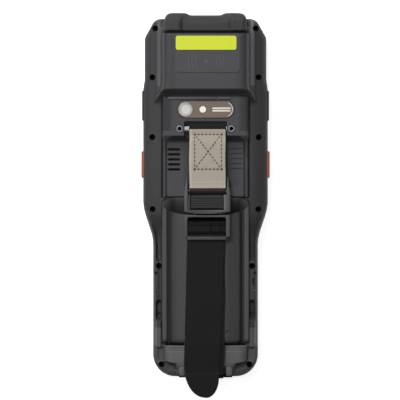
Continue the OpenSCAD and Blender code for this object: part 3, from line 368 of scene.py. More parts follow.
def woven(name, rgb, pitch, relief=0.00016, heather=0.2, ribs=0.0, sheen=0.25, selvedge=None, hem=None, gaps=()):
    """Webbing: yarns over and under each other, a heathered colour, paler selvedges and hem, and bands of painted
    shadow.
    """
    p = Paint(name)
    across, along, _ = p.axes(p.node("ShaderNodeUVMap", {"uv_map": "cloth"}))
    warp, weft = [(way * (2 * math.pi / pitch)).math("SINE", way * (2 * math.pi / pitch)) for way in (across, along)]
    weave = warp * weft * (1 - ribs) + weft * ribs
    fuzz, patch = p.noise(0.0005, 3.0), p.noise(0.003, 4.0)
    mixed = fuzz * 0.45 + patch * 0.3 + weave * 0.12 + 0.12
    if selvedge:
        mixed = mixed + ((across < selvedge[0]) + (across > selvedge[1])) * 0.55
    if hem:
        mixed = mixed + (along > hem) * 0.28 - (abs(along - (hem + 0.0017)) < 0.0003) * 0.5
    cloth = p.spread(mixed, rgb, 1 - heather, 1 + heather)
    # Painted shadow: near-black bands across the strap where it shows in the slot
    for start, end in gaps:
        gap = within(p.axes()[1], start * MM, end * MM)
        cloth = p.blend(gap * 0.9, cloth, p.blend(fuzz, (0.0004,) * 3, (0.0012,) * 3))
    return p.surface(Base_Color=cloth, Roughness=0.77 + fuzz * 0.1,
                     Normal=p.bump(weave * 0.5 + fuzz * 0.35, relief, 0.8),
                     Specular_IOR_Level=0.25, Sheen_Weight=sheen, Sheen_Roughness=0.5)


def board(name):
    """Circuit board: green mask with fine tracks."""
    p = Paint(name)
    line = p.node("ShaderNodeTexVoronoi", {"feature": "DISTANCE_TO_EDGE"}, {"Vector": p.place(), "Scale": 420.0}) < 0.04
    return p.surface(Base_Color=p.blend(line, (0.01, 0.075, 0.03), (0.03, 0.16, 0.07)), Roughness=0.4 - line * 0.12,
                     Normal=p.bump(line, 0.00003, 0.5))


def display(name):
    """Cover glass: black border, and a slightly lighter panel behind the opening."""
    p = Paint(name)
    low, high = span("display_glass")
    x, y, _ = p.axes()
    middle = float((low[1] + high[1]) / 2 * MM)
    half_x, half_y = float(high[0] * MM - 0.004), float((high[1] - low[1]) / 2 * MM - 0.0065)
    inside = (abs(x) < half_x) * (abs(y - middle) < half_y)
    film = p.noise(0.03)
    return p.surface(Base_Color=p.blend(inside, (0.004, 0.004, 0.005), (0.018, 0.021, 0.026)),
                     Roughness=0.06 + film * 0.04, Normal=p.bump(film, 0.00001, 0.1, 0.0002),
                     Specular_IOR_Level=0.5, Coat_Weight=0.5)


BUCKLE = dict(rough=0.42, grain=0.3, edge=0.0003, specular=0.5)
PRINT = dict(rough=0.5, grain=0.1, edge=0.00005)


def black_strap(name, **options):
    return woven(name, tone("strap"), forms().weave_pitch * 1.3, ribs=0.75, heather=0.22, relief=0.0002, **options)


LOOKS = {
    "housing": lambda: moulded("housing plastic", tone("housing")),
    "shell": lambda: moulded("rear shell plastic", tone("housing"), painted_light=shell_painted_light),
    "lip": lambda: moulded("lip plastic", tone("housing", 1.25), edge=0.0002),
    "bumper": lambda: capped("bumper rubber", tone("bumper")),
    # Cap: painted highlight on its middle; its lower parts take 0.55 of that colour
    "cap": lambda: capped("cap rubber", tone("cap"), tone("cap", 0.55)),
    # Pin ears take 0.7 of the cap's painted-lighter colour
    "ear": lambda: moulded("ear rubber", tone("cap", 0.7)),
    "battery": lambda: moulded("battery plastic", tone("battery"), rough=0.48, painted_light=battery_painted_light),
    "buckle": lambda: moulded("buckle plastic", tone("buckle"), **BUCKLE),
    "clip": lambda: moulded("clip plastic", tone("buckle"), painted_light=clip_painted_light, **BUCKLE),
    "button": lambda: moulded("button rubber", (0.03, 0.03, 0.031), rough=0.65, grain=0.9, size=0.0006),
    "black": lambda: moulded("black plastic", (0.006, 0.006, 0.006), rough=0.55, specular=0.2),
    "seal": lambda: moulded("seal rubber", (0.012, 0.012, 0.012), rough=0.75, edge=0.0002),
    "inlay": lambda: moulded("inlay film", tone("housing", 0.92), rough=0.4, grain=0.25, size=0.0006, edge=0.0001,
                             cloud=0.05),
    "dark key": lambda: moulded("dark key", (0.02, 0.02, 0.022), rough=0.45, edge=0.0006),
    "number key": lambda: moulded("number key", (0.22, 0.22, 0.225), rough=0.5, edge=0.0006),
    "scan key": lambda: moulded("scan key", tone("scan_key"), rough=0.36, grain=0.25, edge=0.0006, specular=0.5),
    "mat": lambda: moulded("keypad rubber", (0.16, 0.16, 0.165), rough=0.7),
    "label": lambda: moulded("blank label", tone("label"), rough=0.42, grain=0.12, size=0.0012, edge=0.0001,
                             cloud=0.05, specular=0.4),
    "bezel": lambda: brushed("camera bezel", tone("bezel")),
    "print": lambda: moulded("faint print", tone("housing", 1.5), **{**PRINT, "rough": 0.45}),
    "digit": lambda: moulded("key print", (0.75, 0.75, 0.75), **PRINT),
    "accent": lambda: moulded("key accent", (0.05, 0.28, 0.5), **PRINT),
    "light bar": lambda: moulded("light bar", (0.82, 0.76, 0.69), rough=0.25, grain=0.05, edge=0.0001,
                                 specular=0.5, cloud=0.05),
    "bright rim": lambda: moulded("bright rim", (0.36, 0.36, 0.36), rough=0.25, grain=0.1, edge=0.0001, specular=0.6),
    "grey rim": lambda: moulded("grey rim", (0.2, 0.2, 0.205), rough=0.35, grain=0.2, edge=0.0002, specular=0.6),
    "zinc": lambda: moulded("zinc plated steel", (0.5, 0.485, 0.45), rough=0.4, grain=0.2, edge=0.0001, specular=0.6),
    "screw": lambda: moulded("black screw", (0.0018, 0.0018, 0.0018), rough=0.8, grain=0.3, edge=0.0001,
                             specular=0.06),
    "steel": lambda: metal("bright steel", (0.4, 0.4, 0.39), brush=(1.0, 8.0, 8.0)),
    "copper": lambda: metal("copper coil", (0.75, 0.4, 0.24), rough=0.35),
    "gold": lambda: metal("gold contact", (0.85, 0.62, 0.25), rough=0.25),
    "lens": lambda: clear_cover("camera lens", (0.56, 0.545, 0.51), rough=0.22, ring=0.5),
    "flash": lambda: clear_cover("flash lens", (0.9, 0.86, 0.79), rough=0.3, ring=0.4),
    "window": lambda: clear_cover("scan window", (0.16, 0.006, 0.01)),
    "board": lambda: board("circuit board"),
    "display": lambda: display("display glass"),
    "cell": lambda: moulded("cell wrap", (0.03, 0.12, 0.3), rough=0.3, grain=0.1),
    "webbing": lambda: woven("grey webbing", tone("webbing"), forms().weave_pitch, selvedge=(-0.0080, 0.0108),
                             hem=0.0308),
    "fold": lambda: woven("folded webbing", (0.061, 0.033, 0.03), forms().weave_pitch),
    "strap": lambda: black_strap("black strap", sheen=0.12),
    # Bands of painted shadow where the strap shows in the slot beside the frame's bars
    "looped strap": lambda: black_strap("looped strap", sheen=0.02, gaps=((-12.4, -9.0), (-17.5, -15.2))),
    "thread": lambda: moulded("thread", tone("thread"), rough=0.7, grain=0.8, size=0.0003, edge=0.0001),
}
FINISHES = {}


def finish(name):
    """Material of that name, made once from the settings."""
    if name not in FINISHES:
        FINISHES[name] = LOOKS[name]()
    return FINISHES[name]


# ---- Mesh makers, in millimetres ----

def link(name, data):
    """New object in the scene."""
    made = bpy.data.objects.new(name, data)
    bpy.context.scene.collection.objects.link(made)
    return made


def raw_mesh(name, points, edges=(), faces=()):
    mesh = bpy.data.meshes.new(name)
    mesh.from_pydata((np.asarray(points, float) * MM).tolist(), edges, faces)
    return link(name, mesh)


def tidy(made, smooth=32):
    """Merges doubles, turns every face outwards and keeps edges sharper than the angle."""
    work = bmesh.new()
    work.from_mesh(made.data)
    bmesh.ops.remove_doubles(work, verts=work.verts, dist=1e-7)
    bmesh.ops.recalc_face_normals(work, faces=work.faces)
    work.to_mesh(made.data)
    work.free()
    made.data.shade_smooth()
    made.data.set_sharp_from_angle(angle=math.radians(smooth))
    return made


def settle(made, body, look=None, instead_of=None):
    """Gives a finished piece its one material, its body and the node that it stands for."""
    if look:
        made.data.materials.clear()
        made.data.materials.append(finish(look))
        made.data.polygons.foreach_set("material_index", [0] * len(made.data.polygons))
    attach(made, body)
    if instead_of:
        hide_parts(instead_of)


def plain_mesh(made):
    """New mesh of an object with its modifiers applied."""
    return bpy.data.meshes.new_from_object(made.evaluated_get(bpy.context.evaluated_depsgraph_get()))


def evaluated(made):
    """Applies an object's modifiers to its mesh."""
    mesh = plain_mesh(made)
    made.modifiers.clear()
    old, made.data = made.data, mesh
    bpy.data.meshes.remove(old)
    return made


def join_solids(made, others, operation):
    """Adds solids to one or takes them away from it, with the exact outline kept."""
    for other in others:
        change = made.modifiers.new(other.name, "BOOLEAN")
        change.operation, change.solver, change.object = operation, "MANIFOLD", other
    tidy(evaluated(made))
    for other in others:
        bpy.data.objects.remove(other)
    return made


def carve(made, *cutters):
    return join_solids(made, cutters, "DIFFERENCE")


def weld(made, *others):
    return join_solids(made, others, "UNION")


def chamfer(made, width, steps=3):
    """Rounds the sharp edges of a solid."""
    bevel = made.modifiers.new("edges", "BEVEL")
    bevel.width, bevel.segments, bevel.limit_method = width * MM, steps, "ANGLE"
    bevel.angle_limit = math.radians(35)
    return tidy(evaluated(made), 40)


def prism(plan, low, high, axis="z", name="solid"):
    """Solid between two heights from a plan; axis names the direction that it is drawn along."""
    turn = {"z": lambda u, v, w: (u, v, w), "x": lambda u, v, w: (w, u, v), "y": lambda u, v, w: (u, w, v)}[axis]
    n = len(plan)
    points = [turn(u, v, w) for w in (low, high) for u, v in plan]
    faces = [tuple(range(n)), tuple(range(n, 2 * n))]
    faces += [(i, (i + 1) % n, n + (i + 1) % n, n + i) for i in range(n)]
    return tidy(raw_mesh(name, points, (), faces))


def arc_path(centre, radius, start, end, steps):
    """Points on a circle from one angle to another, in degrees."""
    return [(centre[0] + radius * math.cos(math.radians(a)), centre[1] + radius * math.sin(math.radians(a)))
            for a in np.linspace(start, end, steps)]


def around(middle, half):
    """Two ends of a stretch about its middle."""
    return middle - half, middle + half


def slab(x, y, low, high, corner=0.0, axis="z", name="solid", steps=6):
    """Block on a rectangle with round corners."""
    (x0, x1), (y0, y1) = x, y
    if corner <= 0:
        return prism([(x0, y0), (x1, y0), (x1, y1), (x0, y1)], low, high, axis, name)
    centres = ((x1 - corner, y1 - corner), (x0 + corner, y1 - corner), (x0 + corner, y0 + corner),
               (x1 - corner, y0 + corner))
    plan = [point for i, centre in enumerate(centres)
            for point in arc_path(centre, corner, 90 * i, 90 * i + 90, steps + 1)]
    return prism(plan, low, high, axis, name)


def drum(x, y, radius, low, high, axis="z", name="solid"):
    """Round bar or disc."""
    return prism(arc_path((x, y), radius, 0, 360, 41)[:-1], low, high, axis, name)


def grid_faces(rows, cols, ring):
    """Faces of a grid of points, whose columns close into a ring if asked."""
    wide = cols if ring else cols - 1
    return [(i * cols + j, i * cols + (j + 1) % cols, (i + 1) * cols + (j + 1) % cols, (i + 1) * cols + j)
            for i in range(rows - 1) for j in range(wide)]


def relief(name, x, y, z, floor):
    """Closed solid whose top is a grid of heights and whose underside is flat."""
    rows, cols = z.shape
    top = np.stack([x, y, z], axis=-1).reshape(-1, 3)
    ring = [(0, j) for j in range(cols)] + [(i, cols - 1) for i in range(1, rows)]
    ring += [(rows - 1, j) for j in range(cols - 2, -1, -1)] + [(i, 0) for i in range(rows - 2, 0, -1)]
    edge = [i * cols + j for i, j in ring]
    base = top[edge].copy()
    base[:, 2] = floor
    first, n = len(top), len(edge)
    faces = grid_faces(rows, cols, False)
    faces += [(edge[k], first + k, first + (k + 1) % n, edge[(k + 1) % n]) for k in range(n)]
    faces.append(tuple(first + k for k in range(n)))
    return tidy(raw_mesh(name, np.vstack([top, base]), (), faces))


def band(name, path, left, right, thick, look, body, crown=0.0, instead_of=None):
    """Flat strap along a path of (y, z) points, with rounded edges and a map for its weave."""
    path = np.asarray(path, float)
    step = np.gradient(path, axis=0)
    step /= np.linalg.norm(step, axis=1)[:, None]
    normal = np.stack([-step[:, 1], step[:, 0]], axis=1)
    along = np.concatenate([[0], np.cumsum(np.linalg.norm(np.diff(path, axis=0), axis=1))])
    flat, turns = 25, np.linspace(0, math.pi, 7)[1:-1]
    u = np.concatenate([np.linspace(-1, 1, flat), np.full(5, 1.0), np.linspace(1, -1, flat), np.full(5, -1.0)])
    push = np.concatenate([np.zeros(flat), np.sin(turns), np.zeros(flat), np.sin(turns)])
    lift = np.concatenate([np.ones(flat), np.cos(turns), -np.ones(flat), -np.cos(turns)])
    left, right, thick = (np.broadcast_to(value, len(path)) for value in (left, right, thick))
    points, cloth = [], []
    for (y, z), (ny, nz), low, high, s, t in zip(path, normal, left, right, along, thick):
        middle, half = (low + high) / 2, (high - low) / 2 - t / 2
        for a, b, c in zip(u, push, lift):
            offset = c * t / 2 + (crown * (1 - a * a) if c > 0 else 0)
            x = middle + a * half + math.copysign(b * t / 2, a)
            points.append((x, y + ny * offset, z + nz * offset))
            cloth.append((x * MM, s * MM))
    ring, rows = len(u), len(path)
    ends = [tuple(range(ring)), tuple((rows - 1) * ring + j for j in range(ring))]
    made = tidy(raw_mesh(name, points, (), grid_faces(rows, ring, True) + ends), 60)
    cloth_map(made, dict(zip([tuple(np.round(p, 4)) for p in points], cloth)))
    settle(made, body, look, instead_of)


def cloth_map(made, cloth):
    """Lays the weave on a mesh from a table of its points."""
    layer = made.data.uv_layers.new(name="cloth")
    for loop in made.data.loops:
        key = tuple(np.round(np.array(made.data.vertices[loop.vertex_index].co) / MM, 4))
        layer.data[loop.index].uv = cloth.get(key, (key[0] * MM, key[1] * MM))


# ---- Rules that the shapes follow ----

def swell(t):
    """Smooth rise from 0 to 1."""
    t = np.clip(t, 0, 1)
    return t * t * (3 - 2 * t)


def rim(inside, radius):
    """Fall of a rounded rim at a distance inside its edge, and steeply outside it."""
    t = np.clip(radius - inside, 0, radius)
    return radius - np.sqrt(np.clip(radius ** 2 - t ** 2, 0, None)) + 6 * np.clip(-inside, 0, None)


def over(a, b, soft):
    """The higher of two surfaces, with a fillet where they meet."""
    h = np.clip(soft - np.abs(a - b), 0, None) / soft
    return np.maximum(a, b) + h * h * soft / 4


def under(a, b, soft):
    """The lower of two surfaces, with a round where they meet."""
    return -over(-a, -b, soft)


def inset(x, y, half, low, high, corner):
    """Distance inside a rectangle with round corners."""
    a, b = half - np.abs(x), np.minimum(y - low, high - y)
    near = (a < corner) & (b < corner)
    bend = corner - np.hypot(np.clip(corner - a, 0, None), np.clip(corner - b, 0, None))
    return np.where(near, bend, np.minimum(a, b))


def top_corner():
    """Angle of the slanted top corner, and the middles of the two rounds at its ends."""
    slant = math.atan2(*CORNER_CUT)
    upper = (HEAD_HALF - CORNER_CUT[0] - TOP_CORNER * math.tan(math.pi / 4 - slant / 2), Y_SHELL - TOP_CORNER)
    lower = (HEAD_HALF - TOP_CORNER, Y_SHELL - CORNER_CUT[1] - TOP_CORNER * math.tan(slant / 2))
    return slant, upper, lower


def corner_half(y):
    """Half width that the slanted top corners leave."""
    slant, upper, lower = top_corner()
    bend = lambda c: c[0] + np.sqrt(TOP_CORNER ** 2 - np.clip(y - c[1], 0, TOP_CORNER) ** 2)
    line = HEAD_HALF - CORNER_CUT[0] + (Y_SHELL - y) * CORNER_CUT[0] / CORNER_CUT[1]
    ends = [c[1] + TOP_CORNER * math.sin(slant) for c in (lower, upper)]
    return np.where(y < ends[0], bend(lower), np.where(y < ends[1], line, bend(upper)))


def body_half(y):
    """Half width of the body at a height."""
    y = np.asarray(y, float)

    def ease(ends, a, b):
        t = np.clip((ends[0] - y) / (ends[0] - ends[1]), 0, 1)
        return a + (b - a) * (0.5 - 0.5 * np.cos(np.pi * t))
    half = np.where(y > FLARE[1], ease(FLARE, HEAD_HALF, WAIST_HALF), ease(TAPER, WAIST_HALF, GRIP_HALF))
    low = np.clip(Y_BOTTOM + LOW_CORNER - y, 0, LOW_CORNER)
    half = np.where(y > FLARE[0], np.minimum(half, corner_half(y)), half)
    return half - (LOW_CORNER - np.sqrt(np.clip(LOW_CORNER ** 2 - low ** 2, 0, None)))


def body_inset(x, y):
    """Distance inside the body's outline."""
    ax = np.abs(x)
    side = np.where(y > FLARE[0], HEAD_HALF, body_half(y)) - ax
    a, b = CORNER_CUT
    cut = ((HEAD_HALF - a - ax) * b + (Y_SHELL - y) * a) / math.hypot(a, b)
    side = np.minimum(np.minimum(side, cut), np.minimum(Y_SHELL - y, y - Y_BOTTOM))
    slant, upper, lower = top_corner()
    rounds = ((upper, slant, math.pi / 2, TOP_CORNER), (lower, 0, slant, TOP_CORNER),
              ((GRIP_HALF - LOW_CORNER, Y_BOTTOM + LOW_CORNER), -math.pi / 2, 0, LOW_CORNER))
    for (cx, cy), start, end, r in rounds:
        way = np.arctan2(y - cy, ax - cx)
        side = np.where((way > start) & (way < end), r - np.hypot(ax - cx, y - cy), side)
    return side


def steps_between(*stops):
    """Rising values: each stop is (start, step); the last is (end, None)."""
    values = []
    for (start, step), (end, _) in zip(stops, stops[1:]):
        values.extend(np.linspace(start, end, max(2, int(round((end - start) / step)) + 1))[:-1])
    return np.array(values + [stops[-1][0]])


def body_grid(low, high, fine=0.75):
    """Grid over the body's outline: even columns inside, closer ones towards the edge and at each line across."""
    ends = [(low, 0.15), (low + 1.2, 0.35), (low + 4, fine), (high - 4, 0.35), (high - 1.2, 0.15), (high, None)]
    rows = set(np.round(steps_between(*ends), 4))
    for place in (Y_CAP, Y_HUMP, Y_SLOPE, Y_PLATEAU, Y_PLATEAU - 3.4, Y_SEAM + 0.4, Y_PACK - 2.3):
        rows |= {round(place + d, 4) for d in (-0.7, -0.35, -0.08, 0.08, 0.35, 0.7) if low < place + d < high}
    rows = np.array(sorted(rows))
    half, inner = body_half(rows)[:, None], 26.5
    squeeze = np.minimum(1, (half - 1) / inner)
    inside = steps_between((0, 0.8), (19, 0.35), (inner, None))
    outside = 1 - (1 - np.linspace(0, 1, 19)[1:]) ** 1.6
    side = np.concatenate([inside[None] * squeeze, inner * squeeze + (half - inner * squeeze) * outside[None]], axis=1)
    x = np.concatenate([-side[:, :0:-1], side], axis=1)
    return x, np.repeat(rows[:, None], x.shape[1], axis=1)


# ---- Rear shell ----

def shoulder_height(x, y):
    """Shoulders: sloping outwards, dished beside the grip and filleted up to the hump."""
    ax = np.abs(x)
    z = SHOULDER_Z + 0.6 - 0.7 * swell((10 - y) / 30) - forms().shoulder_crown * np.clip(ax - 25, 0, 9) ** 2
    beside_hump = swell((y - Y_SLOPE + 6) / 8) * swell((Y_SHELL - 3 - y) / 5)
    z = z + 3.6 * np.clip(1 - (ax - 25) / 5, 0, 1) ** 2 * beside_hump
    wall = body_half(y) - 1.5
    deep = 3.1 * swell((Y_SEAM - 8 - y) / 16) * (1 - swell((Y_PACK + 15.5 - y) / 2.5))
    land = swell((Y_SEAM - 35.2 - y) / 2) * swell((y - Y_SEAM + 61.2) / 2)
    dish = swell((wall - ax) / (1.1 + 1.5 * land))
    z = z - deep * (1 - 0.62 * land) * dish
    # Notch, pad and step beside the battery's lower end
    z = z - 0.9 * swell((Y_PACK + 18 - y) / 1.5) * swell((y - Y_PACK - 13.6) / 0.8) * swell((28.3 - ax) / 0.6)
    below = swell((Y_PACK + 13.2 - y) / 0.6)
    pad = below * swell((ax - 25.6) / 0.4) * swell((28.9 - ax) / 0.5)
    z = z - 0.5 * below * swell((ax - 28.7) / 0.4) * (y > Y_PACK - 1)
    contour = np.exp(-((ax - 24.9) / 0.22) ** 2) + np.exp(-((ax - 26.2) / 0.22) ** 2)
    return z + 0.8 * pad - 0.3 * contour * swell((y - Y_CAP + 4) / 4)


def shell_height(x, y):
    """Whole back of the rear shell: shoulders, rails, deck, camera flat, hump, nose and battery ledge."""
    ax = np.abs(x)
    z = shoulder_height(x, y)
    z = z - 0.9 * np.exp(-((ax - 25.0) / 0.4) ** 2) * swell((Y_SLOPE - y) / 2) * (y > Y_SEAM)
    rail = DECK_Z - 0.3 - rim(0.8 - np.abs(ax - 23.7), 0.6)
    z = np.where((y > Y_SEAM + 0.3) & (y < Y_SLOPE), np.maximum(z, rail), z)
    deck = DECK_Z - rim(inset(x, y, 22.5, Y_SEAM + 0.35, Y_PLATEAU + 5, 1.0), 0.7)
    z = over(z, deck, 0.3)
    ramp = PLATEAU_Z - 0.86 * np.clip(Y_PLATEAU + 0.3 - y, 0, None)
    flat = PLATEAU_Z - rim(inset(x, y, 24.6, Y_PLATEAU - 5, Y_SLOPE + 5, 5.0), 1.4)
    z = over(z, under(ramp, flat, 1.0), 0.8)
    wide = 25.1 + 3.8 * swell((Y_HUMP + 3 - y) / 12)
    side = HUMP_Z - rim(wide - ax, forms().hump_rim / MM)
    slope = HUMP_Z - 1.6 * np.clip(Y_HUMP - y, 0, None)
    end = Y_CAP - 0.5
    z = over(z, np.where(y < end, under(side, slope, 1.6) - rim(end - y, 0.6), 0), 1.0)
    z = np.maximum(z, np.where(y > Y_CAP + 1.6, 26.4 - rim(20.5 - ax, 1.0), 0))
    ledge = LEDGE_Z - 2.4 * swell((Y_SEAM - 6 - y) / 9)
    z = over(z, ledge - rim(inset(x, y, 25.75, Y_PACK - 2.2, Y_SEAM + 0.6, 2.3), 0.3), 0.5)
    z = z - rim(body_inset(x, y), forms().shoulder_roll / MM)
    return np.where(y < Y_PACK - 2.3, np.minimum(z, NECK_Z), z)


def rim_width(inside, radius):
    """How far a round corner draws in, at a distance from the end."""
    t = np.clip(radius - inside, 0, radius)
    return radius - np.sqrt(radius ** 2 - t ** 2)


def seam_drop(ax):
    """How far the pack's top edge falls towards its corners."""
    return 1.5 * swell((ax - 19) / 5.5)


class TERMINAL_OT_rear_shell(bpy.types.Operator):
    """Rear shell with its bay, wells, slots and seats"""
    bl_idname = "terminal.rear_shell"
    bl_label = "Rear shell"

    def execute(self, context):
        x, y = body_grid(Y_BOTTOM, Y_SHELL)
        shell = relief("rear_shell", x, y, np.maximum(shell_height(x, y), JOINT_Z + 1), JOINT_Z)
        tub_half, tub_floor = 21.7, 5.7
        weld(shell, slab(around(0, tub_half), (Y_PACK - 2.2, Y_SEAM + 3.6), tub_floor, LEDGE_Z - 2.2))
        carve(shell, *self.bay(), *self.side_cuts(), *self.middle_cuts())
        settle(shell, "body", "shell", "rear_housing")
        for side, word in SIDES:
            ear = slab(sorted((side * 11.8, side * 15.4)), (14.0, PIN[1] + 1.5), Y_BOTTOM + 0.2, Y_BOTTOM + 6,
                       axis="y", name=f"pin_ear_{word}")
            settle(chamfer(ear, 0.9), "body", "ear")
            place = (side * EYELET[0], EYELET[1])
            height = float(shell_height(*np.array(place)[:, None])[0])
            flat_ring(f"side_eyelet_{word}", place, 1.1, 0.55, height - 1.5, height + 0.3, "lip")
        return {"FINISHED"}

    @staticmethod
    def bay():
        """Battery bay: its outline, its well and the neck over it, and the groove at its lower end."""
        gap, wide, well, groove = 0.3, PACK_HALF + 0.25, around(0, 20.6), around(0, 23.4)
        low, well_floor, groove_floor = Y_PACK - gap, 6.8, 12.5
        across = np.concatenate([[wide], np.linspace(wide - 0.05, 23.2, 10), np.linspace(22.8, -22.8, 32),
                                 np.linspace(-23.2, 0.05 - wide, 10), [-wide]])
        edge = [(x, Y_SEAM + gap - seam_drop(abs(x)) - rim_width(wide - abs(x), PACK_CORNER)) for x in across]
        return [prism(edge + [(-wide, low), (wide, low)], LEDGE_Z - 2.6, ABOVE),
                slab(well, (low, Y_SEAM + gap), well_floor, NECK_Z),
                slab(well, (low, Y_SEAM - 0.45), NECK_Z - 0.2, LEDGE_Z - 2),
                slab(groove, (Y_PACK - 1.35, Y_PACK - 0.2), groove_floor, ABOVE, 0.5)]

    @staticmethod
    def side_cuts():
        """Screw wells, key slots, speaker slots and small holes, on both sides."""
        cuts, key_slot = [], (12.3, 17.5)
        slot_x, slot_first, slot_pitch, slot_depths = 18.3, Y_PLATEAU - 7.8, 2.9, {-1: 3.5, 1: 0.5}
        for side, _ in SIDES:
            cuts += [drum(side * x, y, WELL_RADIUS, WELL_FLOOR, ABOVE) for x, y in WELLS]
            for node in ("scan_key_right", "upper_key_right"):
                low, high = span(node)
                cuts.append(slab((low[1] + 0.6, high[1] - 0.6), key_slot, *sorted((side * 32.0, side * 40.0)),
                                 1.0, axis="x"))
            cuts += [slab(around(side * slot_x, 3.65), around(slot_first - i * slot_pitch, 0.68),
                          DECK_Z - slot_depths[side], ABOVE, 0.66) for i in range(5)]
            cuts += [drum(side * BAR_SCREW_X, BAR[0], 2.15, 24.8, ABOVE),
                     drum(side * 28.7, Y_SEAM - 43.8, 0.85, HOLE_FLOOR, ABOVE),
                     drum(side * EYELET[0], EYELET[1], 0.55, HOLE_FLOOR, ABOVE)]
        return cuts

    @staticmethod
    def middle_cuts():
        """Side mark, camera seat, strap recess with its bar's hole, and scan window."""
        seat = [(BEZEL_LOW[i] - 0.25, BEZEL_HIGH[i] + 0.25) for i in range(2)]
        recess, window, bar_end = around(0, 12.35), around(0, 14.1), 17.8
        return [slab((27.4, 28.2), (Y_SEAM - 51.2, Y_SEAM - 46.7), HOLE_FLOOR, ABOVE, 0.35),
                slab(*seat, PLATEAU_Z - 2.2, ABOVE, 5.1, steps=12),
                slab(recess, (Y_PLATEAU - 1.5, BAR[0] + 4.3), DECK_Z - 2.9, ABOVE, 1.0),
                drum(*BAR, 1.6, -bar_end, bar_end, "x"),
                slab(window, (12.5, 25.5), Y_SHELL - 1.3, Y_SHELL + 2, axis="y")]


# ---- End caps ----

class TERMINAL_OT_top_bumper(bpy.types.Operator):
    """Top bumper with its two raised corners and the opening for the scan window"""
    bl_idname = "terminal.top_bumper"
    bl_label = "Top bumper"

    def execute(self, context):
        u = np.linspace(-1, 1, 121)[None]
        v = (1 - (1 - np.linspace(0, 1, 40)) ** 1.5)[:, None]
        start, middle_end, corner_reach = Y_CAP + 0.9, 110.1, 1.3
        top, corner_rise, pad_rise, pad_x, pad_y = 28.7, 1.5, 0.35, 18.5, 4.1
        end = middle_end + corner_reach * swell((np.abs(u) * 23.6 - 9.3) / 4.9)
        y = start + (end - start) * v
        narrow = 24.1 - 0.06 * (y - Y_CAP) - rim_width(end - y, 3.6)
        x = u * narrow
        ax = np.abs(x)
        pad = np.clip(np.minimum(3.6 - np.abs(ax - pad_x), 3.0 - np.abs(y - Y_CAP - pad_y)) / pad_rise, 0, 1)
        z = top + corner_rise * swell((ax - 13.0) / 1.7) + pad_rise * pad
        z = z - 0.9 * rim_width(end - y, 5.5) - rim(narrow - ax, 2.6) - rim(y - start, 0.6)
        bumper = relief("top_bumper_skin", x, y, z, 6.0)
        depth = (Y_CAP - 5, Y_SHELL + 0.1)
        carve(bumper, slab(around(0, 60), depth, 0, SHOULDER_Z - 1.5),
              slab(around(0, 20.7), depth, SHOULDER_Z - 2, 26.6),
              slab(around(0, 12.4), (14.0, 24.2), Y_SHELL - 1, 120, 1.0, axis="y"))
        settle(bumper, "body", "bumper", "top_bumper")
        return {"FINISHED"}


class TERMINAL_OT_bottom_cap(bpy.types.Operator):
    """Bottom cap with its raised middle"""
    bl_idname = "terminal.bottom_cap"
    bl_label = "Bottom cap"

    def execute(self, context):
        edge = CAP_TOP - 0.6
        x, y = body_grid(Y_BOTTOM, edge, fine=0.5)
        ax = np.abs(x)
        top, groove_depth, floor = 26.0, 0.3, 17.7
        lean = top - 0.14 * (CAP_TOP - y) - 0.10 * np.clip(-92 - y, 0, None)
        side = np.interp(y, [Y_BOTTOM, Y_BOTTOM + 7.4, Y_BOTTOM + 9, CAP_TOP], [14.8, 17.2, 24.4, 24.6])
        middle = lean - rim(side - ax, 1.2 + 4.6 * swell((y - Y_BOTTOM - 8) / 1.5))
        for line in (2.4, 3.7):
            middle = middle - groove_depth * np.exp(-((CAP_TOP - line - y) / 0.28) ** 2)
        hollow = 0.35 * swell((29.0 - ax) / 2.4) * swell((y - Y_BOTTOM - 8.5) / 1.2)
        corner = SHOULDER_Z - 0.4 - 2.6 * hollow - rim(body_inset(x, y), 3.0)
        z = over(corner, np.maximum(middle, corner - 2), 0.5) - rim(edge - y, 0.5)
        z = z - np.where(ax < side, rim(y - Y_BOTTOM, 1.6), 0)
        cap = relief("bottom_cap_skin", x, y, np.maximum(z, floor + 0.2), floor)
        cuts = [slab(around(0, 11.8), (Y_BOTTOM - 1, Y_BOTTOM + 5), PIN[1] - 3.6, ABOVE, 0.6)]
        for sign, _ in SIDES:
            cuts += [slab(sorted((sign * 11.5, sign * 15.5)), (Y_BOTTOM - 1, Y_BOTTOM + 6.05), 0, ABOVE),
                     drum(sign * WELLS[5][0], WELLS[5][1], WELL_RADIUS, 0, ABOVE)]
        carve(cap, *cuts)
        settle(cap, "body", "cap", "bottom_cap")
        return {"FINISHED"}


# ---- Battery ----

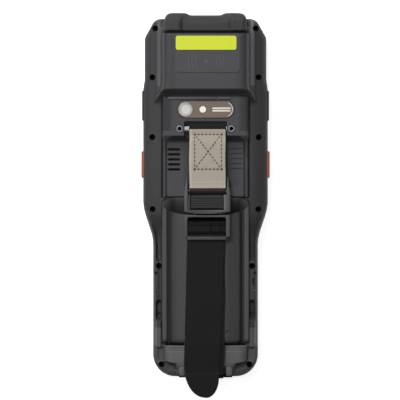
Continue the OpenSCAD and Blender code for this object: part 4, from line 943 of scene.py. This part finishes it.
class TERMINAL_OT_battery(bpy.types.Operator):
    """Battery cover: ridge over the two cells, wings with their grooves, and the finger scoop"""
    bl_idname = "terminal.battery"
    bl_label = "Battery cover"

    def execute(self, context):
        side = steps_between((0, 0.8), (9, 0.5), (19, 0.25), (24.7, 0.1), (PACK_HALF, None))
        rows = steps_between((Y_PACK, 0.12), (Y_PACK + 1.2, 0.7), (-12, 0.45), (Y_SEAM - 1, 0.12), (Y_SEAM, None))
        x, y = np.meshgrid(np.concatenate([-side[:0:-1], side]), rows)
        ax = np.abs(x)
        cell_z, cell_radius, cell_half, wing_z, floor = 17.3, 10.5, 10.8, 19.6, 19.0
        ridge = cell_z + np.sqrt(np.clip(cell_radius ** 2 - np.clip(ax - cell_half, 0, None) ** 2, 0, None))
        wing = wing_z + 1.8 * swell((ax - 20.9) / 2.0) - rim(PACK_HALF - ax, 0.5)
        z = over(ridge, wing, 1.4) - rim(y - Y_PACK, 2.4) - rim(Y_SEAM - y, 0.35)
        x = x * (1 - rim_width(Y_SEAM - y, PACK_CORNER) / PACK_HALF)
        y = y - seam_drop(ax) * swell((y + 3) / (Y_SEAM + 3))
        cover = relief("battery_skin", x, y, np.maximum(z, floor + 0.2), floor)
        weld(cover, slab(around(0, 20.3), (-11, Y_SEAM - 0.75), 14.0, wing_z), self.bank(floor + 0.05))
        latch_seat = slab(around(0, 9.5), (Y_SEAM - 11, Y_SEAM - 1.6), 15.5, ABOVE)
        dimple = drum(12.4, Y_PACK + 6.7, 0.8, 26.6, ABOVE)
        carve(cover, self.scoop(), latch_seat, dimple)
        settle(cover, "battery", "battery", "battery_cover")
        return {"FINISHED"}

    @staticmethod
    def scoop_line(s):
        """Length of the finger scoop at a place across it, from -1 to 1."""
        return SCOOP_LENGTH * np.clip(1 - np.abs(s) ** SCOOP_POWER, 0, None) ** (1 / SCOOP_POWER)

    def scoop(self):
        """Hollow of the finger scoop, deeper towards its upper edge."""
        s, v = np.linspace(-1, 1, 81)[None], np.linspace(-0.25, 1, 26)[:, None]
        x = np.repeat(s * SCOOP_REACH, len(v), axis=0)
        y = Y_SEAM - (self.scoop_line(s) + 0.02) * v + 0.4 * (v < 0)
        fall = np.clip((Y_SEAM - y) / SCOOP_LENGTH, -0.05, 1.1)
        bowl = DECK_Z - 0.35 - forms().scoop_depth / MM * np.sign(fall) * np.abs(fall) ** 1.8
        return relief("scoop", x, y, np.maximum(bowl, 15.5 + 3.9 * swell((np.abs(x) - 17.2) / 2.6)), ABOVE)

    def bank(self, floor):
        """Fill that the scoop is cut from."""
        s, v = np.linspace(-1, 1, 61)[None], np.linspace(0, 0.97, 16)[:, None]
        x = np.repeat(s * (PACK_HALF - 0.9), len(v), axis=0)
        top = Y_SEAM - seam_drop(np.abs(x)) - rim_width(PACK_HALF - np.abs(x), PACK_CORNER) - 0.02
        y = top + (np.minimum(Y_SEAM - self.scoop_line(x / SCOOP_REACH), top - 0.4) - top) * v
        return relief("bank", x, y, DECK_Z - 0.3 * np.clip(Y_SEAM - y, 0, 20), floor)


# ---- Buckle ----

class TERMINAL_OT_buckle(bpy.types.Operator):
    """Upper clip with its window, lower ladder frame and the nubs of the press pad"""
    bl_idname = "terminal.buckle"
    bl_label = "Buckle"

    def execute(self, context):
        mid = (CLIP_LOW[0] + CLIP_HIGH[0]) / 2
        self.clip(mid)
        self.ladder(mid)
        nubs = press_nubs("press_pad_nubs", (BUTTON_LOW[0] + 0.9, BUTTON_HIGH[0] - 0.9),
                          (BUTTON_LOW[1] + 0.7, BUTTON_HIGH[1] - 0.7), BUTTON_HIGH[2] - 0.05)
        settle(nubs, "clip_button")
        return {"FINISHED"}

    @staticmethod
    def clip(mid):
        """Upper clip: two rails with a lip, a shelf, two cheeks and a sill between them, and its cross bar."""
        low, high = CLIP_LOW, CLIP_HIGH
        half = (high[0] - low[0]) / 2
        inner = (TAB_HIGH[0] - TAB_LOW[0]) / 2 + 0.35
        top, tongue, end = high[2], high[2] - 2.1, low[1] + 0.6
        rail = [(end + 0.2, tongue - 1.1), (end, top - 0.8), (end + 0.8, top), (high[1] - 7, top),
                (high[1] - 2.5, top - 0.9), (high[1], top - 3.0), (high[1], top - 4.2), (high[1] - 5, low[2]),
                (end + 2.6, low[2]), (end + 2.4, tongue - 1.1)]
        clip = prism(rail, mid - half, mid - inner, "x", "strap_clip_skin")
        other = prism(rail, mid + inner, mid + half, "x")
        curve = lambda wide, y, turns: [(mid + wide * t, y + 1.2 * t * t) for t in turns]
        forth, back = np.linspace(-1, 1, 17), np.linspace(1, -1, 17)
        lip = prism(curve(half, low[1] - 0.6, forth) + curve(half, low[1] + 0.5, back), tongue, top)
        wall, shelf_end = inner + 0.3, -2.75
        shelf = prism(curve(wall, low[1], forth) + [(mid + wall, shelf_end), (mid - wall, shelf_end)],
                      tongue, top - 1.0)
        cheek = (low[1] + 1.0, BUTTON_HIGH[1] + 0.5)
        left = slab((mid - inner - 0.4, BUTTON_LOW[0] - 0.85), cheek, tongue, top - 0.6)
        right = slab((BUTTON_HIGH[0] + 0.3, mid + inner + 0.4), cheek, tongue, top - 0.6)
        sill = slab(around(mid, inner + 0.4), (low[1] + 3, BUTTON_HIGH[1] + 0.6), low[2], low[2] + 1)
        weld(clip, other, lip, shelf, left, right, sill)
        waist = ([(half + 1, 7.0), (half + 0.01, 7.0), (half - 1.0, 11.6), (half - 1.1, 17), (half + 1, 17)],
                 [(inner - 0.6, 9.0), (inner - 0.01, 9.0), (wall, 11.6), (wall, 17), (inner - 0.6, 17)])
        carve(clip, *[prism([(mid + way * u, v) for u, v in plan], 20, ABOVE) for way, _ in SIDES for plan in waist])
        settle(chamfer(clip, 0.4), "strap_upper", "clip", "strap_clip")
        bar = drum(*CLIP_BAR, 1.3, *around(mid, inner + 0.2), "x", "clip_cross_bar")
        settle(bar, "strap_upper", "buckle")

    @staticmethod
    def ladder(mid):
        """Lower ladder frame with its foot, slot and hollow end, and the tongue that the clip takes, widened under the
        slot into a near-black sheet of painted shade.
        """
        low, high = LADDER_LOW, LADDER_HIGH
        half = (high[0] - low[0]) / 2
        slot = (-10.5, 11.85)
        y0, y1 = low[1], -5.5
        ladder = slab(around(mid, half), (y0 + 1.6, y1), 28.3, high[2], 0.9, name="strap_frame_skin")
        weld(ladder, slab((-10.8, 11.7), (y0, y0 + 2.2), 30.3, high[2], 0.6))
        hollow = prism([(mid + half * t * 1.05, y1 - 0.4 + 0.65 * t * t) for t in np.linspace(-1, 1, 17)]
                       + [(mid + half * 1.1, y1 + 2), (mid - half * 1.1, y1 + 2)], 20, ABOVE)
        carve(ladder, slab(slot, (y0 + 3, y1 - 1.45), 20, ABOVE, 1.3), slab(slot, (y0 + 1.85, y0 + 6), 20, ABOVE),
              slab((slot[0] - 0.3, slot[1] + 0.3), (y0 - 1, y0 + 3), 20, 30.3), hollow)
        weld(ladder, slab(around(mid, half - 0.1), (-15.1, -10.1), 29.1, 30.1))
        settle(chamfer(ladder, 0.4), "strap_lower", "buckle", "strap_frame")
        left, right = slot[0] - 0.5, slot[1] + 0.5
        # Painted shade: the tongue widens under the slot into a near-black sheet with the black screw finish
        tongue = prism([(left, -10.0), (right, -10.0), (right, -7.2), (mid + 7, -6.2), (mid + 7, -2.4), (mid - 7, -2.4),
                        (mid - 7, -6.2), (left, -7.2)], 28.2, 28.9, name="frame_tongue")
        settle(chamfer(tongue, 0.15, 2), "strap_lower", "screw")


class Repeat(Tree):
    """Geometry nodes that put one shape on many points; its sizes are the tree's named inputs."""

    def __init__(self, name, **sizes):
        super().__init__(bpy.data.node_groups.new(name, "GeometryNodeTree"))
        self.sizes = {key.replace("_", " "): value for key, value in sizes.items()}
        socket = self.tree.interface.new_socket
        for way in ("INPUT", "OUTPUT"):
            socket("Geometry", in_out=way, socket_type="NodeSocketGeometry")
        for label, value in self.sizes.items():
            kind = "NodeSocketInt" if isinstance(value, int) else "NodeSocketFloat"
            socket(label, in_out="INPUT", socket_type=kind).default_value = value
        self.given = {output.name: Port(self, output) for output in self.tree.nodes.new("NodeGroupInput").outputs}

    def ball(self, radius):
        return self.node("GeometryNodeMeshIcoSphere", (), {"Subdivisions": 2, "Radius": radius})

    def run(self, made, points, look, **sockets):
        """Puts the shape on the points, evaluates the object and keeps the plain mesh."""
        put = self.node("GeometryNodeInstanceOnPoints", (), {"Points": points, **sockets})
        real = self.node("GeometryNodeRealizeInstances", (), {0: put})
        dress = self.node("GeometryNodeSetMaterial", (), {0: real, "Material": finish(look)})
        self.node("NodeGroupOutput", (), {0: dress})
        change = made.modifiers.new(self.tree.name, "NODES")
        change.node_group = self.tree
        for socket in self.tree.interface.items_tree:
            if socket.in_out == "INPUT" and socket.name in self.sizes:
                change[socket.identifier] = self.sizes[socket.name]
        evaluated(made).data.shade_smooth()
        return made


def press_nubs(name, x, y, z):
    """Rows of small pimples on the press pad, every other row shifted."""
    tree = Repeat("nubs", Nub_radius=0.00034, Flatness=0.55, Seed=7)
    given, pitch, row_pitch, shift = tree.given, 1.2, 1.15, 0.6
    flat = tree.node("ShaderNodeCombineXYZ", (), {0: 1, 1: 1, 2: given["Flatness"]})
    vary = tree.node("FunctionNodeRandomValue", {"data_type": "FLOAT_VECTOR"},
                     {0: (0.85,) * 3, 1: (1.1,) * 3, "Seed": given["Seed"]})
    size = tree.node("ShaderNodeVectorMath", {"operation": "MULTIPLY"}, {0: flat, 1: vary})
    points = [(px, py, z) for row, py in enumerate(np.arange(y[0], y[1] + 0.01, row_pitch))
              for px in np.arange(x[0] + (row % 2) * shift, x[1] + 0.01, pitch)]
    return tree.run(raw_mesh(name, points), given["Geometry"], "button", Instance=tree.ball(given["Nub radius"]),
                    Scale=size)


def stitch_line(name, points, edges, pitch):
    """Stitches along lines: each a short plump thread that lies along its line."""
    tree = Repeat("stitches", Stitch_pitch=pitch, Thread_radius=0.00033, Stitch_length=pitch * 0.8)
    given = tree.given
    curve = tree.node("GeometryNodeMeshToCurve", (), {0: given["Geometry"]})
    spaced = tree.node("GeometryNodeResampleCurve", {"mode": "LENGTH"},
                       {"Curve": curve, "Length": given["Stitch pitch"]})
    turn = tree.node("FunctionNodeAlignRotationToVector", {"axis": "X"},
                     {"Vector": tree.node("GeometryNodeInputTangent")})
    thread = given["Thread radius"]
    size = tree.node("ShaderNodeCombineXYZ", (), {0: given["Stitch length"] * 0.5, 1: thread, 2: thread})
    return tree.run(raw_mesh(name, points, edges), spaced, "thread", Instance=tree.ball(1), Rotation=turn, Scale=size)


# ---- Webbing and strap ----

def tab_path():
    """Middle line of the grey webbing, from over the top bar down to the clip."""
    top = (BAR[0] - 0.4, BAR[1] + 3.35)
    end = (CLIP_BAR[0] + 1.6, CLIP_BAR[1] + 2.95)
    ys = np.linspace(top[0], end[0], 60)
    t = (top[0] - ys) / (top[0] - end[0])
    zs = top[1] + (end[1] - top[1]) * t + 0.25 * np.sin(np.pi * t)
    zs = zs - 1.9 * swell((ys - 36) / 4) + 0.4 * swell((ys - 41.2) / 2)
    return list(zip(ys, zs))


class TERMINAL_OT_webbing(bpy.types.Operator):
    """Grey webbing with its box of stitches, and the dark loops under it"""
    bl_idname = "terminal.webbing"
    bl_label = "Webbing"

    def execute(self, context):
        path = tab_path()
        t = np.linspace(0, 1, len(path))
        band("grey_webbing", path, WEB_X - 10.4 + 0.12 * np.sin(t * 9), WEB_X + 10.6 + 0.1 * np.sin(t * 7 + 1),
             1.15 + 0.35 * swell((0.66 - t) / 0.01), "webbing", "strap_upper", 0.08, "webbing_tab")
        turned = [(11.2, 30.1), (10.3, 30.25), (9.5, 30.3), (8.8, 30.25), (8.3, 30.1), (8.05, 29.75)]
        run = list(zip(np.linspace(BAR[0] - 1.9, CLIP_BAR[0] + 1.5, 10),
                       np.linspace(BAR[1] + 0.9, CLIP_BAR[1] + 0.3, 10)))
        for name, line, left, right, thick, look, slot, node in (
                ("loop_top", arc_path(BAR, 2.05, 112, -120, 30), -10.55, 10.85, 0.88, "strap", "strap_webbing",
                 "webbing_core"),
                ("loop_low", arc_path(CLIP_BAR, 1.8, -82, -290, 20), -10.0, 9.6, 0.88, "strap", "strap_webbing", None),
                ("fold", turned, -9.7, 9.9, 0.5, "fold", "grey_webbing", None),
                ("run", run, -10.5, 10.5, 1.7, "strap", "strap_webbing", None)):
            band("webbing_" + name, line, WEB_X + left, WEB_X + right, thick, look, "strap_upper",
                 instead_of=node)
        self.stitches(path)
        return {"FINISHED"}

    @staticmethod
    def stitches(path):
        """Box of stitches with its two diagonals, lying on the webbing's crown."""
        ys, zs = zip(*path)
        (x0, x1), (y0, y1) = (-6.3, 9.2), (20.9, 41.0)
        corners = [(x0, y1), (x1, y1), (x1, y0), (x0, y0)]
        steps, points, edges = 24, [], []
        for a, b in ((0, 1), (1, 2), (2, 3), (3, 0), (0, 2), (1, 3)):
            first = len(points)
            for s in np.linspace(0, 1, steps):
                x, y = [p + (q - p) * s for p, q in zip(corners[a], corners[b])]
                lift = 0.78 + 0.08 * (1 - ((x - WEB_X) / 10.85) ** 2)
                points.append((x, y, np.interp(-y, np.negative(ys), zs) + lift))
            edges += [(first + i, first + i + 1) for i in range(steps - 1)]
        made = stitch_line("webbing_stitches", points, edges, forms().stitch_pitch)
        settle(made, "strap_upper")


class TERMINAL_OT_strap(bpy.types.Operator):
    """Black strap: loop round the pin, run up the ridge, turn over the frame's bar and the tail"""
    bl_idname = "terminal.strap"
    bl_label = "Strap"

    def execute(self, context):
        layer, thick = 28.1, 0.86
        self.under(layer, thick)
        self.over(layer, thick)
        return {"FINISHED"}

    @staticmethod
    def under(layer, thick):
        """Lower layer: round the pin, up the ridge and over the frame's bar, narrow where it goes through."""
        half, wrap = 10.7, 30.65
        loop = arc_path(PIN, 1.7, -150, 82, 26)
        rise = [(y, np.interp(y, [PIN[0], Y_PACK], [PIN[1] + 1.7, layer + STRAP_T / 2]))
                for y in np.linspace(PIN[0] + 1.5, Y_PACK - 0.5, 14)]
        run = [(y, layer + STRAP_T / 2 + 0.02) for y in np.linspace(Y_PACK + 0.6, -10.6, 60)]
        turn = [(-9.95, 28.75), (-9.7, 29.3), (-9.75, 30.0), (-10.1, 30.45), (-10.8, wrap)]
        across = [(y, wrap) for y in np.linspace(-11.4, -15.3, 8)] + [(-15.9, 30.5), (-16.2, 30.1), (-16.25, 29.7)]
        path = loop + rise + run + turn + across
        ys = np.array([p[0] for p in path])
        waver = 0.12 * np.sin(ys * 0.21)
        at_slot = swell((ys + 20.5) / 1.5) * swell(np.arange(len(path)) - (len(loop) + len(rise) + 30))
        left = STRAP_X - half + waver + at_slot * (-10.35 - STRAP_X + half - waver)
        right = np.interp(ys, [-100, -60], [10.45, STRAP_X + half]) + waver
        right = right + at_slot * (11.7 - right)
        band("strap_under", path, left, right, thick, "looped strap", "strap_lower", instead_of="strap_lower")

    @staticmethod
    def over(layer, thick):
        """Upper layer: from the frame down over the cap, with a rounded end past the body."""
        top, bend, end = 29.5, -103, TAIL_LOW
        slope = (layer - PIN[1] - 1.25) / (Y_PACK - PIN[0])
        rounded = np.sin(np.linspace(0.03, math.pi / 2, 34))
        rows = [*np.linspace(Y_PACK - 1.2, bend, 26), *(bend - (bend - end) * rounded)]
        path = [(-16.3, top - 0.1)] + [(y, top) for y in np.linspace(-16.9, Y_PACK - 0.2, 70)]
        path += [(y, top - slope * (Y_PACK - y)) for y in rows]
        ys = np.array([p[0] for p in path])
        tip, shoulder, turn = 0.6, -91.5, -100.0
        blunt = np.clip((shoulder - ys) / (shoulder - end), 0, 1)
        left = np.where(ys < shoulder, tip - 13.1 * (1 - blunt ** 2.2) ** (1 / 2.2),
                        np.interp(ys, [shoulder, -20.8, -16], [-12.5, -10.7, -10.35]))
        blunt = np.clip((turn - ys) / (turn - end), 0, 1)
        right = np.where(ys < turn, tip + 7.2 * np.sqrt(1 - blunt ** 2),
                         np.interp(ys, [turn, shoulder, -20.8, -16], [7.8, 8.1, 10.7, 11.6]))
        band("strap_over", path, np.minimum(left, tip - 0.5), np.maximum(right, tip + 0.5), thick, "strap",
             "strap_lower", instead_of="strap_tail")


# ---- Trim ----

def flat_ring(name, centre, outer, inner, low, high, look, spread=0.0):
    """Ring, or a rounded slot's frame where spread holds its two ends apart."""
    def plan(radius):
        return [point for sign, start in ((1, -90), (-1, 90))
                for point in arc_path((centre[0] + sign * spread, centre[1]), radius, start, start + 180, 25)]
    made = carve(prism(plan(outer), low, high, name=name), prism(plan(inner), low - 1, high + 1))
    settle(chamfer(made, min(0.12, (outer - inner) * 0.3), 2), "body", look)


class TERMINAL_OT_camera_trim(bpy.types.Operator):
    """Rims of the camera bezel and its lenses, the light bars and the painted highlight at the bright end"""
    bl_idname = "terminal.camera_trim"
    bl_label = "Camera trim"

    def execute(self, context):
        x0, x1 = BEZEL_LOW[0], BEZEL_HIGH[0]
        cy, top = (BEZEL_LOW[1] + BEZEL_HIGH[1]) / 2, BEZEL_HIGH[2]
        radius = (BEZEL_HIGH[1] - BEZEL_LOW[1]) / 2
        low, high = span("camera_lens")
        lens, glass = ((low[0] + high[0]) / 2, cy), high[2]
        low, high = span("flash_lens")
        flash = ((low[0] + high[0]) / 2, cy)
        flat_ring("bezel_rim", ((x0 + x1) / 2, cy), radius - 0.02, radius - 0.5, top - 0.1, top + 0.14, "bezel",
                  (x1 - x0) / 2 - radius)
        flat_ring("lens_rim", lens, 4.1, 3.5, top - 0.25, top + 0.08, "bright rim")
        flat_ring("lens_iris", lens, 3.0, 2.8, glass - 0.05, glass + 0.04, "bezel")
        flat_ring("flash_rim", flash, 2.3, 1.9, top - 0.3, top + 0.05, "bezel")
        for i, (offset, thick) in enumerate(((0.64, 0.95), (-0.78, 1.05))):
            bar = slab((x1 - 12.6, x1 - 2.0), around(cy + offset, thick / 2), top - 0.1, top + 0.06, thick / 2 - 0.02,
                       name=f"light_bar_{i + 1}")
            settle(chamfer(bar, 0.05, 2), "body", "light bar")
        # Painted highlight: a crescent of the lens finish across the bezel's right end
        outer = arc_path((x1 - radius, cy), radius - 0.55, -66, 66, 30)
        inner = arc_path((x1 - radius - 0.35, cy), radius - 0.85, 62, -62, 30)
        arc = prism(outer + inner, top - 0.1, top + 0.05, name="bright_end")
        settle(chamfer(arc, 0.04, 2), "body", "lens")
        for side, word in SIDES:
            flat_ring(f"bar_ring_{word}", (side * BAR_SCREW_X, BAR[0]), 1.95, 1.15, PLATEAU_Z - 0.35,
                      PLATEAU_Z + 0.12, "grey rim")
        return {"FINISHED"}


class TERMINAL_OT_hump_trim(bpy.types.Operator):
    """Plain reading-zone mark on the hump, and the lip above the camera"""
    bl_idname = "terminal.hump_trim"
    bl_label = "Hump trim"

    def execute(self, context):
        centre, line = (0.3, span("blank_label")[0][1] - 6.7), 0.22
        top = span("hump_inlay")[1][2]
        ink = (top - 0.05, top + 0.03)
        marks = [drum(*centre, 0.9, *ink, name="zone_mark_middle")]
        arcs = ((6.2, 34), (8.2, 30), (10.2, 26))
        for i, (radius, spread) in enumerate(arcs):
            for side, turn in (("left", 180), ("right", 0)):
                outer = arc_path(centre, radius + line, turn - spread, turn + spread, 22)
                inner = arc_path(centre, radius - line, turn + spread, turn - spread, 22)
                marks.append(prism(outer + inner, *ink, name=f"zone_mark_{side}_{i + 1}"))
        for mark in marks:
            settle(mark, "body", "print")
        for side, ends in (("left", (-21.8, 6.1)), ("right", (7.2, 14.8))):
            lip = slab(ends, (Y_SLOPE - 2.1, Y_SLOPE - 0.6), PLATEAU_Z - 0.2, PLATEAU_Z + 0.55, 0.3,
                       name=f"camera_lip_{side}")
            settle(chamfer(lip, 0.25, 2), "body", "lip")
        return {"FINISHED"}


class TERMINAL_OT_key_prints(bpy.types.Operator):
    """Digits on the number keys and plain marks on the other front keys"""
    bl_idname = "terminal.key_prints"
    bl_label = "Key prints"

    def execute(self, context):
        for row in range(1, 5):
            for column in range(1, 4):
                text = str((row - 1) * 3 + (4 - column)) if row < 4 else "#0*"[column - 1]
                self.print_on(f"key_row{row}_{column}", text, 0.0062, "digit", "number_key")
        for side, arrow in (("left", ">"), ("right", "<")):
            self.print_on(f"function_key_{side}", arrow, 0.005, "accent", "dark_key")
        return {"FINISHED"}

    @staticmethod
    def print_on(node, text, size, look, slot):
        """Flat letters on the key, turned to be read from the front."""
        low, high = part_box(node)
        words = bpy.data.curves.new(node + "_print", "FONT")
        words.body, words.size, words.extrude = text, size, 0.00005
        words.align_x, words.align_y = "CENTER", "CENTER"
        holder = link(node + "_text", words)
        mesh = plain_mesh(holder)
        bpy.data.objects.remove(holder)
        middle = (low + high) / 2
        for vertex in mesh.vertices:
            vertex.co = Vector((middle.x - vertex.co.x, middle.y + vertex.co.y, low.z - vertex.co.z))
        settle(tidy(link(node + "_print", mesh)), node, look)


# ---- Finishes of the nodes that stay ----

NODE_FINISHES = {
    "housing": ("front_housing",), "seal": ("housing_seal",),
    "screw": ("housing_screws", "bar_screws", "strap_pin", "clip_spring"),
    "window": ("scan_window",), "copper": ("reader_antenna",), "inlay": ("hump_inlay",), "label": ("blank_label",),
    "black": ("scan_engine", "camera_module", "speaker"), "bezel": ("camera_bezel",), "lens": ("camera_lens",),
    "flash": ("flash_lens",), "board": ("main_board", "keypad_board"), "display": ("display_glass",),
    "steel": ("side_switches", "display_panel", "latch_springs"), "zinc": ("strap_bar",),
    "mat": ("keypad_mat",), "gold": ("battery_contacts", "dock_contacts"), "battery": ("battery_tray",),
    "cell": ("battery_cells",), "button": ("battery_latch", "clip_button"),
    "scan key": ("scan_key_left", "scan_key_right", "scan_key_front"),
    "dark key": ("upper_key_left", "upper_key_right", "function_key_left", "function_key_right"),
    "number key": tuple(f"key_row{r}_{c}" for r in range(1, 5) for c in range(1, 4)),
}


class TERMINAL_OT_finishes(bpy.types.Operator):
    """Finishes of every node that is shown as it is"""
    bl_idname = "terminal.finishes"
    bl_label = "Finishes"

    def execute(self, context):
        for look, nodes in NODE_FINISHES.items():
            for node in nodes:
                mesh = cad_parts[node].data
                mesh.materials.clear()
                mesh.materials.append(finish(look))
        return {"FINISHED"}


# ---- Stage ----

def panel_light(name, at, size, power, aim=(0, 0, 0.02)):
    lamp = bpy.data.lights.new(name, "AREA")
    lamp.shape, lamp.size, lamp.size_y, lamp.energy = "RECTANGLE", *size, power
    made = link(name, lamp)
    made.location = at
    made.rotation_euler = (Vector(aim) - Vector(at)).to_track_quat("-Z", "Y").to_euler()
    made.visible_camera = False


class TERMINAL_OT_stage(bpy.types.Operator):
    """Pale floor, soft lights and the camera straight above"""
    bl_idname = "terminal.stage"
    bl_label = "Stage"

    def execute(self, context):
        scene, s = context.scene, context.scene.terminal_stage
        self.floor(s.floor)
        scene.world = self.studio()
        strip, tall, square = (0.25, 0.9), (0.4, 0.6), (0.5, 0.5)
        for name, at, size, power in (
                ("key_panel", (-0.35, 0.75, 1.15), square, s.key_light),
                ("top_panel", (-0.10, 0.02, 1.40), square, s.key_light * 0.18),
                ("left_panel", (-0.85, 0.10, 0.95), tall, s.side_light * 1.6),
                ("left_strip", (-1.00, 0.0, 0.36), strip, s.side_light),
                ("right_strip", (1.00, 0.0, 0.36), strip, s.side_light * 0.9),
                ("back_strip", (0.0, 1.10, 0.36), strip[::-1], s.side_light * 1.3)):
            panel_light(name, at, size, power)
        camera = bpy.data.cameras.new("camera")
        scene.camera = link("camera", camera)
        scene.camera.location = (-0.0032, 0.0030, s.camera_height)
        seen_width, plane, sensor = 0.232, 0.022, 36
        camera.sensor_width, camera.sensor_fit = sensor, "HORIZONTAL"
        camera.lens = sensor * (s.camera_height - plane) / seen_width
        camera.clip_start, camera.clip_end = 0.05, 20
        scene.view_settings.view_transform = "Standard"
        return {"FINISHED"}

    @staticmethod
    def floor(pale):
        """Floor that looks white to the camera and in gloss, and still takes the object's shadow."""
        half, below = 3000, -0.2
        corners = [(-half, -half, below), (half, -half, below), (half, half, below), (-half, half, below)]
        ground = raw_mesh("floor", corners, (), [(0, 1, 2, 3)])
        p = Paint("pale floor")
        matt = p.node("ShaderNodeBsdfDiffuse", (), {"Color": (pale,) * 3})
        seen = p.either_ray("Camera", "Glossy") * 0.8
        glow = p.node("ShaderNodeEmission", (), {"Color": (1, 1, 1), "Strength": seen})
        both = p.node("ShaderNodeAddShader", (), {0: matt, 1: glow})
        p.node("ShaderNodeOutputMaterial", (), {"Surface": both})
        ground.data.materials.append(p.material)

    @staticmethod
    def studio():
        """World: faint light all round, and white behind the object."""
        world = bpy.data.worlds.new("studio")
        world.use_nodes = True
        sky = Tree(world.node_tree)
        fill, white = (sky.node("ShaderNodeBackground", (), {"Color": (1, 1, 1), "Strength": s}) for s in (0.1, 1.0))
        mix = sky.node("ShaderNodeMixShader", (), {0: sky.either_ray("Camera", "Transmission"), 1: fill, 2: white})
        sky.node("ShaderNodeOutputWorld", (), {"Surface": mix})
        return world


class TERMINAL_PT_panel(bpy.types.Panel):
    bl_idname = "TERMINAL_PT_panel"
    bl_label = "Handheld data terminal"
    bl_space_type = "VIEW_3D"
    bl_region_type = "UI"
    bl_category = "Terminal"

    def draw(self, context):
        for group in ("terminal_forms", "terminal_colours", "terminal_stage"):
            settings = getattr(context.scene, group)
            column = self.layout.column(align=True)
            for name in settings.__annotations__:
                column.prop(settings, name)
        for operator in PIECES:
            self.layout.operator(operator.bl_idname)


PIECES = (TERMINAL_OT_stage, TERMINAL_OT_rear_shell, TERMINAL_OT_top_bumper, TERMINAL_OT_bottom_cap,
          TERMINAL_OT_battery, TERMINAL_OT_buckle, TERMINAL_OT_webbing, TERMINAL_OT_strap,
          TERMINAL_OT_camera_trim, TERMINAL_OT_hump_trim, TERMINAL_OT_key_prints, TERMINAL_OT_finishes)
GROUPS = {"terminal_forms": TerminalForms, "terminal_colours": TerminalColours, "terminal_stage": TerminalStage}


def register():
    for kind in (*GROUPS.values(), *PIECES, TERMINAL_PT_panel):
        bpy.utils.register_class(kind)
    for name, kind in GROUPS.items():
        setattr(bpy.types.Scene, name, PointerProperty(type=kind))


def unregister():
    for name in GROUPS:
        delattr(bpy.types.Scene, name)
    for kind in (TERMINAL_PT_panel, *reversed(PIECES), *GROUPS.values()):
        bpy.utils.unregister_class(kind)


def main():
    register()
    for piece in PIECES:
        group, name = piece.bl_idname.split(".")
        getattr(getattr(bpy.ops, group), name)()


if __name__ == "__main__":
    main()
